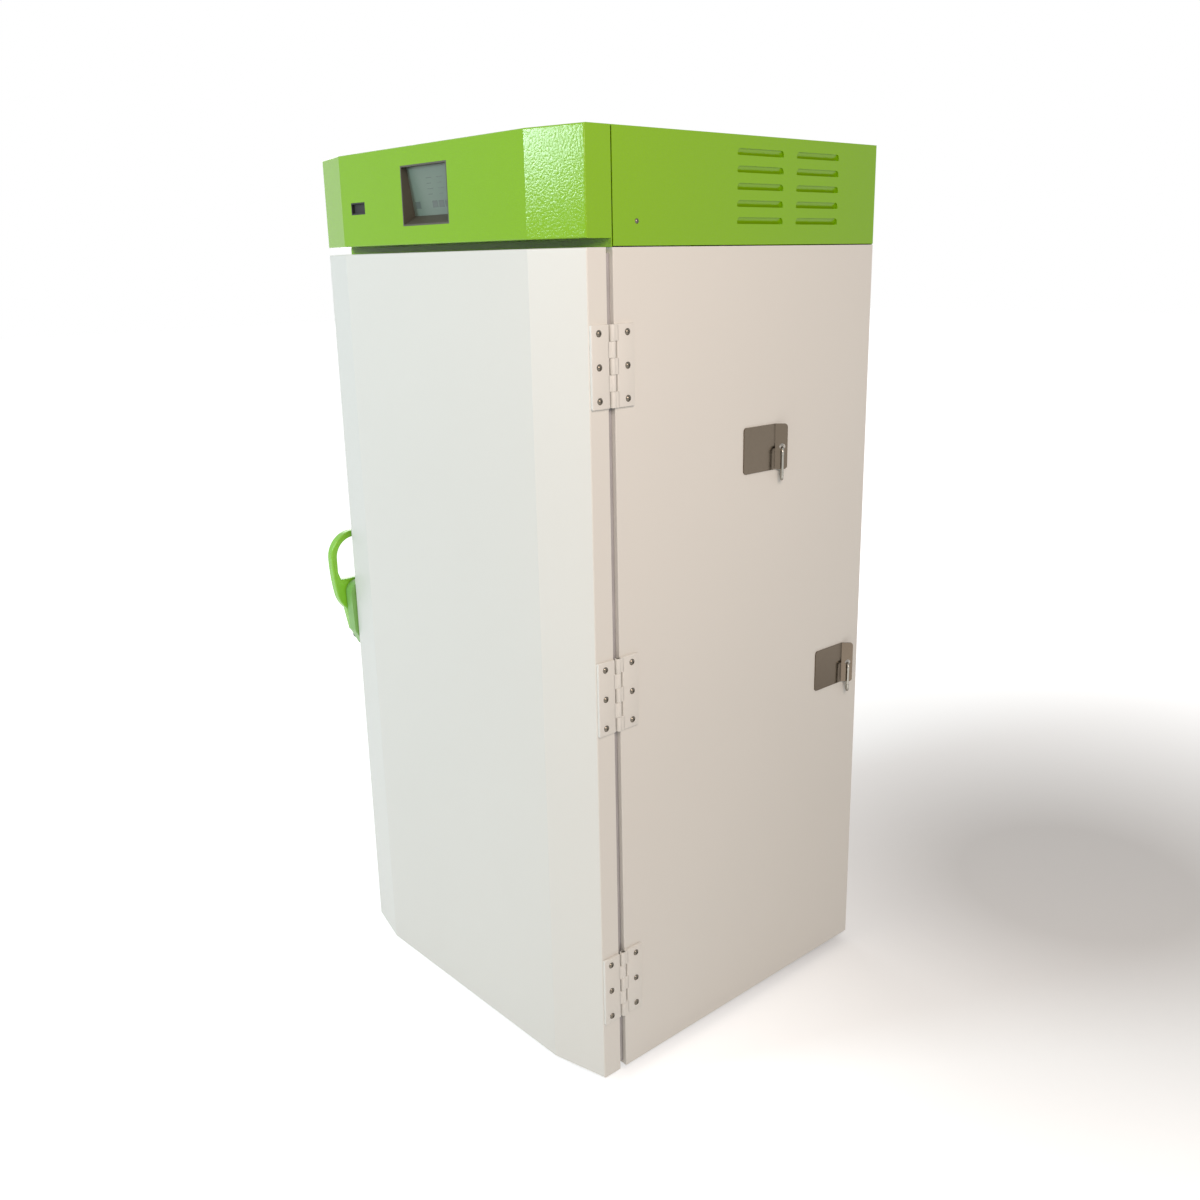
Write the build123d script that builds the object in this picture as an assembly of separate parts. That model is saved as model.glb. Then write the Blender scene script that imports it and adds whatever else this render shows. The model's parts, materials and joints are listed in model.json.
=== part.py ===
from build123d import *
import math
import os

# Upright ultra low temperature freezer, in millimetres.
# +Z is up, -Y is the door side, +X is the hinge side. The origin lies on the floor,
# below the centre of the whole object's box.

# Body
BODY_W = 870.0            # across the flat sides
BODY_H = 1634.0           # door and cabinet
FLOOR_GAP = 25.0          # under the door and the side panels
CABINET_D = 739.0
SHEET = 2.0               # painted steel sheet
FLANGE_W = 36.0           # sheet folded round the cabinet's front, where the gasket closes
BEND_R = 3.0              # outside of a folded edge

# Door
DOOR_T = 73.0
CHAMFER_W = 123.0         # slanted front edge, measured across the front
CHAMFER_D = 30.0          # the same edge, measured front to back
GASKET_GAP = 16.0         # between door and cabinet
GASKET_W = 22.0
GASKET_INSET = 8.0        # from the door's edge
GASKET_CLEAR = 0.3
INNER_PANEL_T = 4.0
PLUG_D = 8.0              # raised middle of the door's inner panel

# Inside
SIDE_WALL = 60.0
REAR_WALL = 60.0
TOP_WALL = 75.0
BOTTOM_WALL = 77.0
BASE_Z = 100.0            # underside of the base pan
BASE_T = 3.0
FRAME_D = 42.0            # throat frame, front to back
LINER_T = 1.5
TIERS = 4                 # compartments, each with an inner door
SHELF_T = 2.0
SHELF_RIM = 18.0
SHELF_GAP = 3.0           # between a shelf and the liner
LEDGE_W = 20.0
INNER_DOOR_T = 22.0
INNER_DOOR_SET = 14.0     # behind the cabinet's front
INNER_DOOR_GAP = 5.0      # at its ends
INNER_DOOR_SPLIT = 12.0   # between one inner door and the next
INNER_PIVOT = 8.0         # pivot from the door's end and from its front face
INNER_PIN_R = 4.0
INNER_BRACKET_T = 8.0
PULL_W, PULL_H, PULL_D = 14.0, 110.0, 8.0

# Hinges
HINGE_H = 145.0
HINGE_LEAF_W = 50.0       # from the pin's axis to the leaf's outer edge
HINGE_LEAF_T = 6.5
HINGE_OUT = 3.5           # pin's axis from the body's side
HINGE_BARREL_R = 6.0
HINGE_PIN_R = 3.0
HINGE_SLOT = 3.5          # between a knuckle and the other leaf
HINGE_SPLIT = 0.4         # between knuckles
KNUCKLES = 5
HINGE_LOW = 200.0         # lowest hinge's centre above the door's bottom
HINGE_HIGH = 200.5        # highest hinge's centre below the door's top
HINGE_RISE = 5.5          # middle hinge's centre above the door's middle
HINGE_SCREW_PITCH = 58.0
HINGE_SCREW_OFF = 33.5    # from the pin's axis
SCREW_HEAD_R = 6.2
SCREW_HEAD_H = 4.0
SCREW_R = 3.0
SCREW_L = 14.0            # under the head
SCREW_CLEAR = 0.2
RUN_CLEAR = 0.05          # radial, for a turning pin
SHAFT_GAP = 0.4           # along a pin, between turning faces

# Latch on the door's left edge; heights and depths are from its pivot
LATCH_Z = 862.0           # pivot above the door's bottom
LATCH_Y = 16.0            # pivot behind the chamfer's edge
LATCH_BASE_T = 28.0
LATCH_BASE_R = 28.0
LATCH_BASE_FALL = 5.0     # centre of the base's upper round
LATCH_BEND_R = 10.0       # where the base's front edge turns back towards its tip
LATCH_BEND_FRONT, LATCH_BEND_DROP = 14.5, 95.0
LATCH_TIP_R = 9.0
LATCH_TIP_BACK, LATCH_TIP_DROP = 3.0, 131.0
LATCH_SEAM = 0.5          # between base and lever
LEVER_T = 20.0
LEVER_BAR = 15.0
LOOP_FRONT = 57.0
LOOP_TOP = 141.5
LOOP_R = 62.0
LOOP_BACK_R = 23.0
WINDOW_LOW = 26.0         # lower edge of the finger gap
WINDOW_KNEE = 19.0        # height of its slanted corner
WINDOW_STEP = 7.0         # depth of its slanted corner
BELLY_FRONT, BELLY_DROP = 48.5, 8.0
NOTCH_FRONT, NOTCH_DROP = 27.0, 47.0
TAIL_REACH = 104.8        # from the pivot to the tail's round end
TAIL_FRONT = 16.2
TAIL_BACK = 14.0
LEVER_ROUND = 3.0
LATCH_PIN_R = 8.0
LATCH_PIN_HEAD_R = 12.0
LATCH_PIN_HEAD_T = 2.0
HOOK_T = 6.0
HOOK_HUB_R = 19.0
HOOK_HALF = 9.0           # half height of the arm
HOOK_REACH = 90.0
HOOK_NOSE = 14.5
HOOK_FALL = 10.5          # room over the strike pin for the last part of the closing turn
HOOK_LIFT = 0.8           # nose over the strike pin at rest
HOOK_SET = 0.3            # hook in its pocket
STRIKE_PIN_R = 6.0
STRIKE_BACK = 4.0         # from the strike pin to the nose
STRIKE_T = 4.0
STRIKE_W, STRIKE_H = 46.0, 60.0
LOCK_R = 5.5
LOCK_CAP_R = 10.5
LOCK_PROUD = 8.0          # cap out of the base
LOCK_FLOOR = 2.0
LOCK_FRONT, LOCK_DROP = 2.0, 116.0
KEYWAY_DEEP = 2.0

# Header
HEADER_GAP = 2.0          # side panels above the cabinet
HEADER_H = 195.0
COVER_GAP = 15.0          # front cover above the door
COVER_BACK = 1.5          # seam ahead of the cabinet's front
SCREEN_W, SCREEN_H = 158.0, 112.0
BEZEL_T = 3.0
BEZEL_D = 40.0
SCREEN_DEEP_TOP = 13.0    # the screen leans: its lower edge lies deeper
SCREEN_DEEP_LOW = 27.0
SCREEN_SILL = 16.0        # rise of the sloping ledge below the screen
SCREEN_T = 4.0
PORT_W, PORT_H = 54.0, 24.0
PORT_SIDE = 188.0         # from the left side
PORT_Z = 75.0             # above the front cover's lower edge
PORT_D = 20.0
PORT_DEEP = 5.0
LOUVRE_L = 131.0
LOUVRE_H = 12.0
LOUVRE_IN = 9.0
LOUVRE_SLIT = 3.0
LOUVRE_PITCH = 30.5
LOUVRE_ROWS = 5
LOUVRE_COLUMNS = (314.0, 484.0)   # front ends, behind the cabinet's front
LOUVRE_LOW = 37.5         # lowest slit above the header's lower edge
HEADER_SCREW_Y = 57.0     # behind the cabinet's front
HEADER_SCREW_Z = 41.0     # above the header's lower edge
GRILLE_SLOT_H = 8.0
GRILLE_SLOT_L = 200.0
GRILLE_PITCH = 20.0
GRILLE_ROWS = 6

# Machine compartment
COOLER_R = 62.0
COOLER_L = 250.0
COOLER_SET = 250.0        # front end behind the cabinet's front
COOLER_Z = 98.0           # axis above the cabinet's top
COLD_HEAD_R = 30.0
CONDENSER_W = 170.0
CONDENSER_D = 40.0
CONDENSER_H = 60.0
REJECTOR_R = 86.0
FIN_T = 2.0
FIN_PITCH = 7.0
FINS = 10
CRADLE_W = 24.0
TUBE_R = 6.0
TUBE_SPAN = 120.0         # between the two legs
TUBE_LOW = 120.0          # lowest point above the inside floor
TUBE_SET = 1.0
FAN_SIZE = 172.0
FAN_T = 44.0
FAN_R = 78.0
FAN_TIP = 2.0             # rotor to frame
FAN_HUB_R = 26.0
FAN_PIN_R = 5.0
FAN_BLADES = 7
FAN_SIDE = 31.0           # from the left side to the fan's frame
FAN_SET = 455.0           # axis behind the cabinet's front
BOARD_L, BOARD_W, BOARD_T = 170.0, 130.0, 2.0
BOARD_SIDE, BOARD_SET = 205.0, 130.0     # middle, from the left side and behind the cabinet's front
BOARD_RISE = 12.0
SUPPLY_L, SUPPLY_W, SUPPLY_H = 130.0, 180.0, 70.0
SUPPLY_SIDE, SUPPLY_SET = 170.0, 210.0   # middle, from the right side and behind the cabinet's front
INLET_W, INLET_H, INLET_D = 50.0, 40.0, 30.0
INLET_PIN_T, INLET_PIN_H = 2.0, 8.0
INLET_SIDE, INLET_Z = 135.0, 60.0        # from the right side, above the cabinet's top
ACCESS_R = 13.0
ACCESS_SIDE, ACCESS_DROP = 235.0, 282.0  # from the left side, below the inside ceiling
PLUG_HEAD_R = 24.0
PLUG_HEAD_T = 6.0
PLUG_CLEAR = 0.3

# Side brackets, each a plate with a bent tongue that holds a snap hook
BRACKET_W = 95.0
BRACKET_H = 93.0
BRACKET_T = 2.5
BRACKET_ROUND = 7.0
BRACKETS = {"front": (339.0, 1195.0), "rear": (586.0, 671.0)}   # behind the cabinet's front, height
TONGUE_L = 26.0           # from the bend to the tongue's free edge
TONGUE_LEAN = 45.0        # tongue turned back from square to the side
TONGUE_HOLE = 15.5        # hole's centre from the bend
TONGUE_HOLE_R = 6.0
WIRE_R = 3.0
CLIP_TOP_R = 9.0          # centre line of the hook's upper turn
CLIP_LOW_R = 9.5
CLIP_L = 46.0             # between the two turns' centres
CLIP_SEAT = 0.3           # wire over the hole's lower edge
GATE_R = 2.6
GATE_GAP = 0.4
GATE_START, GATE_END = 0.12, 0.86     # share of the straight leg

# Feet and casters
WHEEL_R = 37.5
WHEEL_W = 28.0
WHEEL_EDGE = 4.0
AXLE_R = 6.0
FORK_T = 4.0
FORK_GAP = 2.5            # beside the wheel
FORK_CROWN = 6.0
FORK_W = 34.0
CASTER_TRAIL = 28.0
CASTER_LIFT = 2.0         # front wheels off the floor while the feet carry the front
CASTER_SIDE = 105.0       # from the side of the cabinet
CASTER_INSET = 110.0      # from the cabinet's front and back
KING_R = 10.0
KING_L = 10.0
SOCKET_R = 30.0
SOCKET_H = 12.0
FOOT_SIDE = 62.0          # from the side of the cabinet
FOOT_INSET = 36.0
FOOT_R = 20.0
FOOT_PAD = 10.0
FOOT_NUT_R = 13.0
FOOT_NUT_H = 7.0
FOOT_STEM_R = 8.0
FOOT_STEM_TOP = 84.0
FOOT_SOCKET_R = 15.0
FOOT_SOCKET_H = 30.0

# Planes worked out from the sizes above
X = BODY_W / 2
Z_LOW = FLOOR_GAP
Z_TOP = FLOOR_GAP + BODY_H
Z_HEAD = Z_TOP + HEADER_GAP
Z_HEAD_TOP = Z_HEAD + HEADER_H
Z_COVER = Z_TOP + COVER_GAP
FRONT_REACH = LOOP_FRONT - LATCH_Y - CHAMFER_D
TOTAL_D = FRONT_REACH + DOOR_T + GASKET_GAP + CABINET_D + PLUG_HEAD_T
Y_DOOR = FRONT_REACH - TOTAL_D / 2
Y_EDGE = Y_DOOR + CHAMFER_D
Y_DOOR_BACK = Y_DOOR + DOOR_T
Y_FRONT = Y_DOOR_BACK + GASKET_GAP
Y_BACK = Y_FRONT + CABINET_D
Y_SEAM = Y_FRONT - COVER_BACK
INSIDE_X = X - SIDE_WALL
INSIDE_Y0 = Y_FRONT + FRAME_D
INSIDE_Y1 = Y_BACK - SHEET - REAR_WALL
BASE_TOP = BASE_Z + BASE_T
Z_FLOOR = BASE_TOP + BOTTOM_WALL
Z_CEIL = Z_TOP - SHEET - TOP_WALL
TIER_H = (Z_CEIL - Z_FLOOR) / TIERS
HINGE_HEIGHTS = (HINGE_LOW, BODY_H / 2 + HINGE_RISE, BODY_H - HINGE_HIGH)
HINGE_X = X + HINGE_OUT
HINGE_Y = (Y_DOOR_BACK + Y_FRONT) / 2
PIVOT_Y = Y_EDGE + LATCH_Y
PIVOT_Z = Z_LOW + LATCH_Z
LEVER_IN = LATCH_BASE_T + LATCH_SEAM
LEVER_OUT = LEVER_IN + LEVER_T
LEAN = math.radians(TONGUE_LEAN)
CLIP_OUT = TONGUE_HOLE * math.cos(LEAN) + (BRACKET_T / 2 + CLIP_LOW_R) * math.sin(LEAN) + WIRE_R
MID_X = (LEVER_OUT - CLIP_OUT) / 2       # body's middle, from the middle of the whole object's box
INNER_FRONT = Y_FRONT + INNER_DOOR_SET
INNER_PIVOT_X = INSIDE_X - INNER_DOOR_GAP - INNER_PIVOT
INNER_PIVOT_Y = INNER_FRONT + INNER_PIVOT
TUBE_Y = INSIDE_Y1 + LINER_T + TUBE_R + TUBE_SET
COOLER_Y = Y_FRONT + COOLER_SET
COOLER_END = COOLER_Y + COOLER_L
CONDENSER_Y = TUBE_Y - CONDENSER_D / 2
CASTER_FRONT_Y = Y_FRONT + CASTER_INSET
CASTER_BACK_Y = Y_BACK - CASTER_INSET
FOOT_X, FOOT_Y = X - FOOT_SIDE, Y_FRONT + FOOT_INSET
CASTER_X = X - CASTER_SIDE
PORT_X = -X + PORT_SIDE
FAN_X, FAN_Y = -X + FAN_SIDE, Y_FRONT + FAN_SET
BOARD_X, BOARD_Y = -X + BOARD_SIDE, Y_FRONT + BOARD_SET
SUPPLY_X, SUPPLY_Y = X - SUPPLY_SIDE, Y_FRONT + SUPPLY_SET
INLET_X = X - INLET_SIDE
ACCESS_X, ACCESS_Z = -X + ACCESS_SIDE, Z_CEIL - ACCESS_DROP
SCREEN_Z = (Z_COVER + Z_HEAD_TOP) / 2
RIGHT, LEFT = 1, -1
SIDES = {"right": RIGHT, "left": LEFT}

parts = {}


def block(x, y, z):
    """A box between three pairs of coordinates."""
    centre = Pos((x[0] + x[1]) / 2, (y[0] + y[1]) / 2, (z[0] + z[1]) / 2)
    return centre * Box(abs(x[1] - x[0]), abs(y[1] - y[0]), abs(z[1] - z[0]))


def rod(start, direction, radius, length):
    """A round bar from start, along +X, -X, +Y, -Y, +Z or -Z."""
    turn = {"+X": Rot(0, 90, 0), "-X": Rot(0, -90, 0), "+Y": Rot(-90, 0, 0),
            "-Y": Rot(90, 0, 0), "+Z": Rot(0, 0, 0), "-Z": Rot(180, 0, 0)}[direction]
    low_end = (Align.CENTER, Align.CENTER, Align.MIN)
    return Pos(*start) * turn * Cylinder(radius, length, align=low_end)


def plan(points, low, high):
    """A prism on a plan outline, between two heights."""
    return extrude(Pos(0, 0, low) * make_face(Polyline(*points, close=True)), high - low)


def side_prism(face, x_from, x_to):
    """A prism on an outline drawn in (y, z), between two values of x."""
    return extrude(Plane.YZ.offset(min(x_from, x_to)) * face, abs(x_to - x_from))


def section(points):
    return make_face(Polyline(*points, close=True))


def out(d):
    """x of a point at distance d outside the left side of the door."""
    return -X - d


def group(shapes):
    return Compound([solid for shape in shapes for solid in shape.solids()])


def chamfered_plan(inset, back):
    """The plan of the door and of the header's front cover, moved inwards by inset."""
    slope = math.hypot(CHAMFER_W, CHAMFER_D)
    side = X - inset
    front = Y_DOOR + inset
    along = inset * (slope - CHAMFER_D) / CHAMFER_W
    across = inset * (slope - CHAMFER_W) / CHAMFER_D
    return [(-side, back), (-side, Y_EDGE + along), (-X + CHAMFER_W + across, front),
            (X - CHAMFER_W - across, front), (side, Y_EDGE + along), (side, back)]


def folded_prism(back, low, high):
    """The chamfered plan as a solid, its four upright bends and its two front rims rounded."""
    solid = plan(chamfered_plan(0, back), low, high)
    upright = [e for e in solid.edges().filter_by(Axis.Z) if e.center().Y < back - BEND_R]
    rims = [e for e in solid.edges() if e not in upright
            and e.length > BEND_R and e.bounding_box().max.Y <= Y_EDGE + SHEET
            and e.bounding_box().size.Z < SHEET]
    return fillet(upright + rims, BEND_R)


def domed_screw():
    """A screw along Z with its head on the plane z = 0."""
    dome_r = (SCREW_HEAD_R ** 2 + SCREW_HEAD_H ** 2) / (2 * SCREW_HEAD_H)
    half_way = math.asin(SCREW_HEAD_R / dome_r) / 2
    shoulder = (dome_r * math.sin(half_way), SCREW_HEAD_H - dome_r + dome_r * math.cos(half_way))
    half = Polyline((0, SCREW_HEAD_H), (0, -SCREW_L), (SCREW_R, -SCREW_L), (SCREW_R, 0), (SCREW_HEAD_R, 0))
    dome = ThreePointArc((SCREW_HEAD_R, 0), shoulder, (0, SCREW_HEAD_H))
    return revolve(Plane.XZ * make_face([half, dome]), Axis.Z)


def screw(x, y, z, facing):
    """A domed screw whose head sits on the plane at x, facing +X or -X."""
    return Pos(x, y, z) * Rot(0, 90 if facing == "+X" else -90, 0) * domed_screw()


def screw_hole(x, y, z, facing):
    inward = "-X" if facing == "+X" else "+X"
    return rod((x, y, z), inward, SCREW_R + SCREW_CLEAR, SCREW_L + SCREW_CLEAR)


def hinge_screw_points(side):
    """Screw places of one leaf of every hinge: side is +1 on the cabinet and -1 on the door."""
    y = HINGE_Y + side * HINGE_SCREW_OFF
    return [(y, Z_LOW + centre + step * HINGE_SCREW_PITCH)
            for centre in HINGE_HEIGHTS for step in (-1, 0, 1)]


def hinge_holes(side):
    return [screw_hole(X + HINGE_LEAF_T, y, z, "+X") for y, z in hinge_screw_points(side)]


def tier_z(i):
    """Height of the split under inner door i."""
    return Z_FLOOR + i * TIER_H


# Cabinet panels
def side_panel(sign):
    inner, outer = sign * (X - SHEET), sign * X
    wall = block((inner, outer), (Y_FRONT, Y_BACK), (Z_LOW, Z_TOP))
    flange = block((sign * (X - FLANGE_W), outer), (Y_FRONT, Y_FRONT + SHEET), (Z_LOW, Z_TOP))
    panel = wall + flange
    bend = [e for e in panel.edges().filter_by(Axis.Z)
            if abs(e.center().X - outer) < SHEET / 4 and abs(e.center().Y - Y_FRONT) < SHEET / 4]
    panel = fillet(bend, SHEET * 0.9)
    if sign == RIGHT:
        panel -= hinge_holes(+1)
    return panel


parts["side_panel_right"] = side_panel(RIGHT)
parts["side_panel_left"] = side_panel(LEFT)
inner_w = (-X + SHEET, X - SHEET)
flange_x = (-X + FLANGE_W, X - FLANGE_W)
access_hole = rod((ACCESS_X, Y_BACK, ACCESS_Z), "-Y", ACCESS_R, SHEET + REAR_WALL + LINER_T)
parts["rear_panel"] = block(inner_w, (Y_BACK - SHEET, Y_BACK), (Z_LOW, Z_TOP)) - access_hole
tube_tops = [(sign * TUBE_SPAN / 2, TUBE_Y) for sign in (RIGHT, LEFT)]
tube_room = TUBE_R + TUBE_SET
tube_holes = [rod((x, y, Z_CEIL), "+Z", tube_room, TOP_WALL + SHEET) for x, y in tube_tops]
parts["top_panel"] = (block(inner_w, (Y_FRONT + SHEET, Y_BACK - SHEET), (Z_TOP - SHEET, Z_TOP))
                      + block(flange_x, (Y_FRONT, Y_FRONT + SHEET), (Z_TOP - FLANGE_W, Z_TOP))) - tube_holes
parts["base_pan"] = (block(inner_w, (Y_FRONT + SHEET, Y_BACK - SHEET), (BASE_Z, BASE_TOP))
                     + block(flange_x, (Y_FRONT, Y_FRONT + SHEET), (Z_LOW, BASE_TOP)))

# Throat frame, liner and foam
inside_x = (-INSIDE_X, INSIDE_X)
frame = block(inner_w, (Y_FRONT + SHEET, INSIDE_Y0), (BASE_TOP, Z_TOP - SHEET))
frame -= block(inside_x, (Y_FRONT, INSIDE_Y0), (Z_FLOOR, Z_CEIL))
parts["throat_frame"] = frame - hinge_holes(+1)
liner_x = (-INSIDE_X - LINER_T, INSIDE_X + LINER_T)
liner_z = (Z_FLOOR - LINER_T, Z_CEIL + LINER_T)
liner_outer = block(liner_x, (INSIDE_Y0, INSIDE_Y1 + LINER_T), liner_z)
liner_hollow = block(inside_x, (INSIDE_Y0 - SHEET, INSIDE_Y1), (Z_FLOOR, Z_CEIL))
parts["liner"] = liner_outer - liner_hollow - access_hole
foam = block(inner_w, (INSIDE_Y0, Y_BACK - SHEET), (BASE_TOP, Z_TOP - SHEET)) - liner_outer
tube_low = Z_FLOOR + TUBE_LOW
tube_pocket = block((-TUBE_SPAN / 2 - tube_room, TUBE_SPAN / 2 + tube_room),
                    (INSIDE_Y1, TUBE_Y + tube_room), (tube_low - tube_room, Z_CEIL + LINER_T))
foam -= [access_hole, tube_pocket] + tube_holes
parts["insulation"] = foam

# Shelves and the ledges that carry them
shelf_y = (INNER_FRONT + INNER_DOOR_T + PULL_D, INSIDE_Y1 - SHELF_GAP)
shelf_x = (-INSIDE_X + SHELF_GAP, INSIDE_X - SHELF_GAP)


def shelf(i):
    low = tier_z(i) - SHELF_RIM / 2
    tray = block(shelf_x, shelf_y, (low, low + SHELF_RIM))
    under = block((shelf_x[0] + SHELF_T, shelf_x[1] - SHELF_T),
                  (shelf_y[0] + SHELF_T, shelf_y[1] - SHELF_T), (low - SHELF_T, low + SHELF_RIM - SHELF_T))
    return tray - under


def ledge(i, sign):
    top = tier_z(i) - SHELF_RIM / 2
    wall, inner = sign * INSIDE_X, sign * (INSIDE_X - LEDGE_W)
    flat = block((wall, inner), shelf_y, (top - SHELF_T, top))
    upright = block((wall, wall - sign * SHELF_T), shelf_y, (top - LEDGE_W, top))
    return flat + upright


parts["shelves"] = group(shelf(i) for i in range(1, TIERS))
parts["shelf_ledges"] = group(ledge(i, sign) for i in range(1, TIERS) for sign in (RIGHT, LEFT))


# Inner doors on moulded pins, held by brackets on the throat frame
def inner_door(i):
    low = tier_z(i) + INNER_DOOR_SPLIT / 2
    high = tier_z(i + 1) - INNER_DOOR_SPLIT / 2
    half = INSIDE_X - INNER_DOOR_GAP
    slab = block((-half, half), (INNER_FRONT, INNER_FRONT + INNER_DOOR_T), (low, high))
    mid = (low + high) / 2
    pull_z = (mid - PULL_H / 2, mid + PULL_H / 2)
    pull = block((-half, -half + PULL_W), (INNER_FRONT - PULL_D, INNER_FRONT), pull_z)
    reach = INNER_DOOR_SPLIT / 2 - SHAFT_GAP
    pins = [rod((INNER_PIVOT_X, INNER_PIVOT_Y, high), "+Z", INNER_PIN_R, reach),
            rod((INNER_PIVOT_X, INNER_PIVOT_Y, low), "-Z", INNER_PIN_R, reach)]
    return slab + pull + pins


def inner_bracket(i):
    low = max(tier_z(i) - INNER_BRACKET_T / 2, Z_FLOOR)
    high = min(tier_z(i) + INNER_BRACKET_T / 2, Z_CEIL)
    bracket_y = (INNER_FRONT, INNER_FRONT + 2 * INNER_PIVOT)
    body = block((INNER_PIVOT_X - INNER_PIVOT, INSIDE_X), bracket_y, (low, high))
    return body - rod((INNER_PIVOT_X, INNER_PIVOT_Y, low), "+Z", INNER_PIN_R + RUN_CLEAR, high - low)


for i in range(TIERS):
    parts[f"inner_door_{i + 1}"] = inner_door(i)
parts["inner_door_brackets"] = group(inner_bracket(i) for i in range(TIERS + 1))

# Door: folded skin, foam, inner panel and gasket
door_z = (Z_LOW, Z_TOP)
hollow_z = (Z_LOW + SHEET, Z_TOP - SHEET)
panel_y = Y_DOOR_BACK - INNER_PANEL_T
skin = folded_prism(Y_DOOR_BACK, *door_z) - plan(chamfered_plan(SHEET, Y_DOOR_BACK + SHEET), *hollow_z)
parts["door_skin"] = skin - hinge_holes(-1)
parts["door_insulation"] = plan(chamfered_plan(SHEET, panel_y), *hollow_z) - hinge_holes(-1)
gasket_edge = X - GASKET_INSET
plug_x = gasket_edge - 2 * GASKET_W
plug_z = (Z_LOW + GASKET_INSET + 2 * GASKET_W, Z_TOP - GASKET_INSET - 2 * GASKET_W)
parts["door_inner_panel"] = (block(inner_w, (panel_y, Y_DOOR_BACK), hollow_z)
                             + block((-plug_x, plug_x), (Y_DOOR_BACK, Y_DOOR_BACK + PLUG_D), plug_z))


def gasket_ring(edge_in, width, y_from, y_to):
    """One layer of the gasket, edge_in from its outer edge."""
    far = gasket_edge - edge_in
    z0, z1 = Z_LOW + GASKET_INSET + edge_in, Z_TOP - GASKET_INSET - edge_in
    outer = block((-far, far), (y_from, y_to), (z0, z1))
    return outer - block((-far + width, far - width), (y_from, y_to), (z0 + width, z1 - width))


gasket_t = GASKET_GAP - GASKET_CLEAR
bellows = GASKET_W / 6
layers = [(0, 0.0, 0.25), (bellows, 0.25, 0.72), (bellows / 3, 0.72, 1.0)]
gasket = None
for edge_in, share_from, share_to in layers:
    ring = gasket_ring(edge_in, GASKET_W - 2 * edge_in,
                       Y_DOOR_BACK + share_from * gasket_t, Y_DOOR_BACK + share_to * gasket_t)
    gasket = ring if gasket is None else gasket + ring
parts["door_gasket"] = gasket


# Hinges: odd knuckles belong to the cabinet's leaf, even ones to the door's
def hinge_leaf(centre, side):
    """side is +1 for the cabinet's leaf and -1 for the door's."""
    low = Z_LOW + centre - HINGE_H / 2
    knuckle = HINGE_H / KNUCKLES
    near = HINGE_BARREL_R + HINGE_SLOT
    leaf_x = (X, X + HINGE_LEAF_T)
    leaf = block(leaf_x, (HINGE_Y + side * near, HINGE_Y + side * HINGE_LEAF_W), (low, low + HINGE_H))
    for k in range(KNUCKLES):
        if (k % 2 == 0) != (side == 1):
            continue
        z0 = low + k * knuckle + HINGE_SPLIT / 2
        tall = knuckle - HINGE_SPLIT
        leaf += rod((HINGE_X, HINGE_Y, z0), "+Z", HINGE_BARREL_R, tall)
        leaf += block(leaf_x, (HINGE_Y, HINGE_Y + side * near), (z0, z0 + tall))
    leaf -= rod((HINGE_X, HINGE_Y, low), "+Z", HINGE_PIN_R + RUN_CLEAR, HINGE_H)
    return leaf - [h for h in hinge_holes(side) if abs(h.center().Z - low - HINGE_H / 2) < HINGE_H]


parts["hinge_cabinet_leaves"] = group(hinge_leaf(c, +1) for c in HINGE_HEIGHTS)
parts["hinge_door_leaves"] = group(hinge_leaf(c, -1) for c in HINGE_HEIGHTS)
parts["hinge_pins"] = group(rod((HINGE_X, HINGE_Y, Z_LOW + c - HINGE_H / 2), "+Z", HINGE_PIN_R, HINGE_H)
                            for c in HINGE_HEIGHTS)


def hinge_screws(side):
    return [screw(X + HINGE_LEAF_T, y, z, "+X") for y, z in hinge_screw_points(side)]


header_screws = [screw(sign * X, Y_FRONT + HEADER_SCREW_Y, Z_HEAD + HEADER_SCREW_Z, facing)
                 for sign, facing in ((RIGHT, "+X"), (LEFT, "-X"))]
parts["cabinet_screws"] = group(hinge_screws(+1) + header_screws)
parts["door_screws"] = group(hinge_screws(-1))


# Latch on the door's left edge
def at_pivot(y, z):
    return (PIVOT_Y + y, PIVOT_Z + z)


def round_at(y, z, r):
    return Pos(*at_pivot(y, z)) * Circle(r)


base_rounds = [round_at(0, -LATCH_BASE_FALL, LATCH_BASE_R),
               round_at(-LATCH_BEND_FRONT, -LATCH_BEND_DROP, LATCH_BEND_R),
               round_at(LATCH_TIP_BACK, -LATCH_TIP_DROP, LATCH_TIP_R)]
base_face = make_hull([disc.edge() for disc in base_rounds])
base = side_prism(base_face, out(0), out(LATCH_BASE_T))
base_rim = [e for e in base.edges() if e.bounding_box().max.X < out(LATCH_BASE_T) + SHEET / 4]
base = fillet(base_rim, LEVER_ROUND)
lock_at = (out(LOCK_FLOOR), *at_pivot(-LOCK_FRONT, -LOCK_DROP))
lock_l = LATCH_BASE_T - LOCK_FLOOR + LOCK_PROUD
pin_at = (out(0), PIVOT_Y, PIVOT_Z)
base -= rod(lock_at, "-X", LOCK_R + RUN_CLEAR, lock_l)
base -= rod(pin_at, "-X", LATCH_PIN_R + RUN_CLEAR, LATCH_BASE_T)
parts["latch_base"] = base
cap_at = (out(LATCH_BASE_T + SHAFT_GAP), lock_at[1], lock_at[2])
key_lock = rod(lock_at, "-X", LOCK_R, lock_l) + rod(cap_at, "-X", LOCK_CAP_R, LOCK_PROUD - SHAFT_GAP)
key_lock -= block((out(LATCH_BASE_T + LOCK_PROUD - KEYWAY_DEEP), out(LATCH_BASE_T + LOCK_PROUD)),
                  (lock_at[1] - LOCK_R / 5, lock_at[1] + LOCK_R / 5),
                  (lock_at[2] - LOCK_R / 2, lock_at[2] + LOCK_R / 2))
parts["key_lock"] = key_lock
pin_l = LEVER_OUT - LATCH_PIN_HEAD_T / 2
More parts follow.
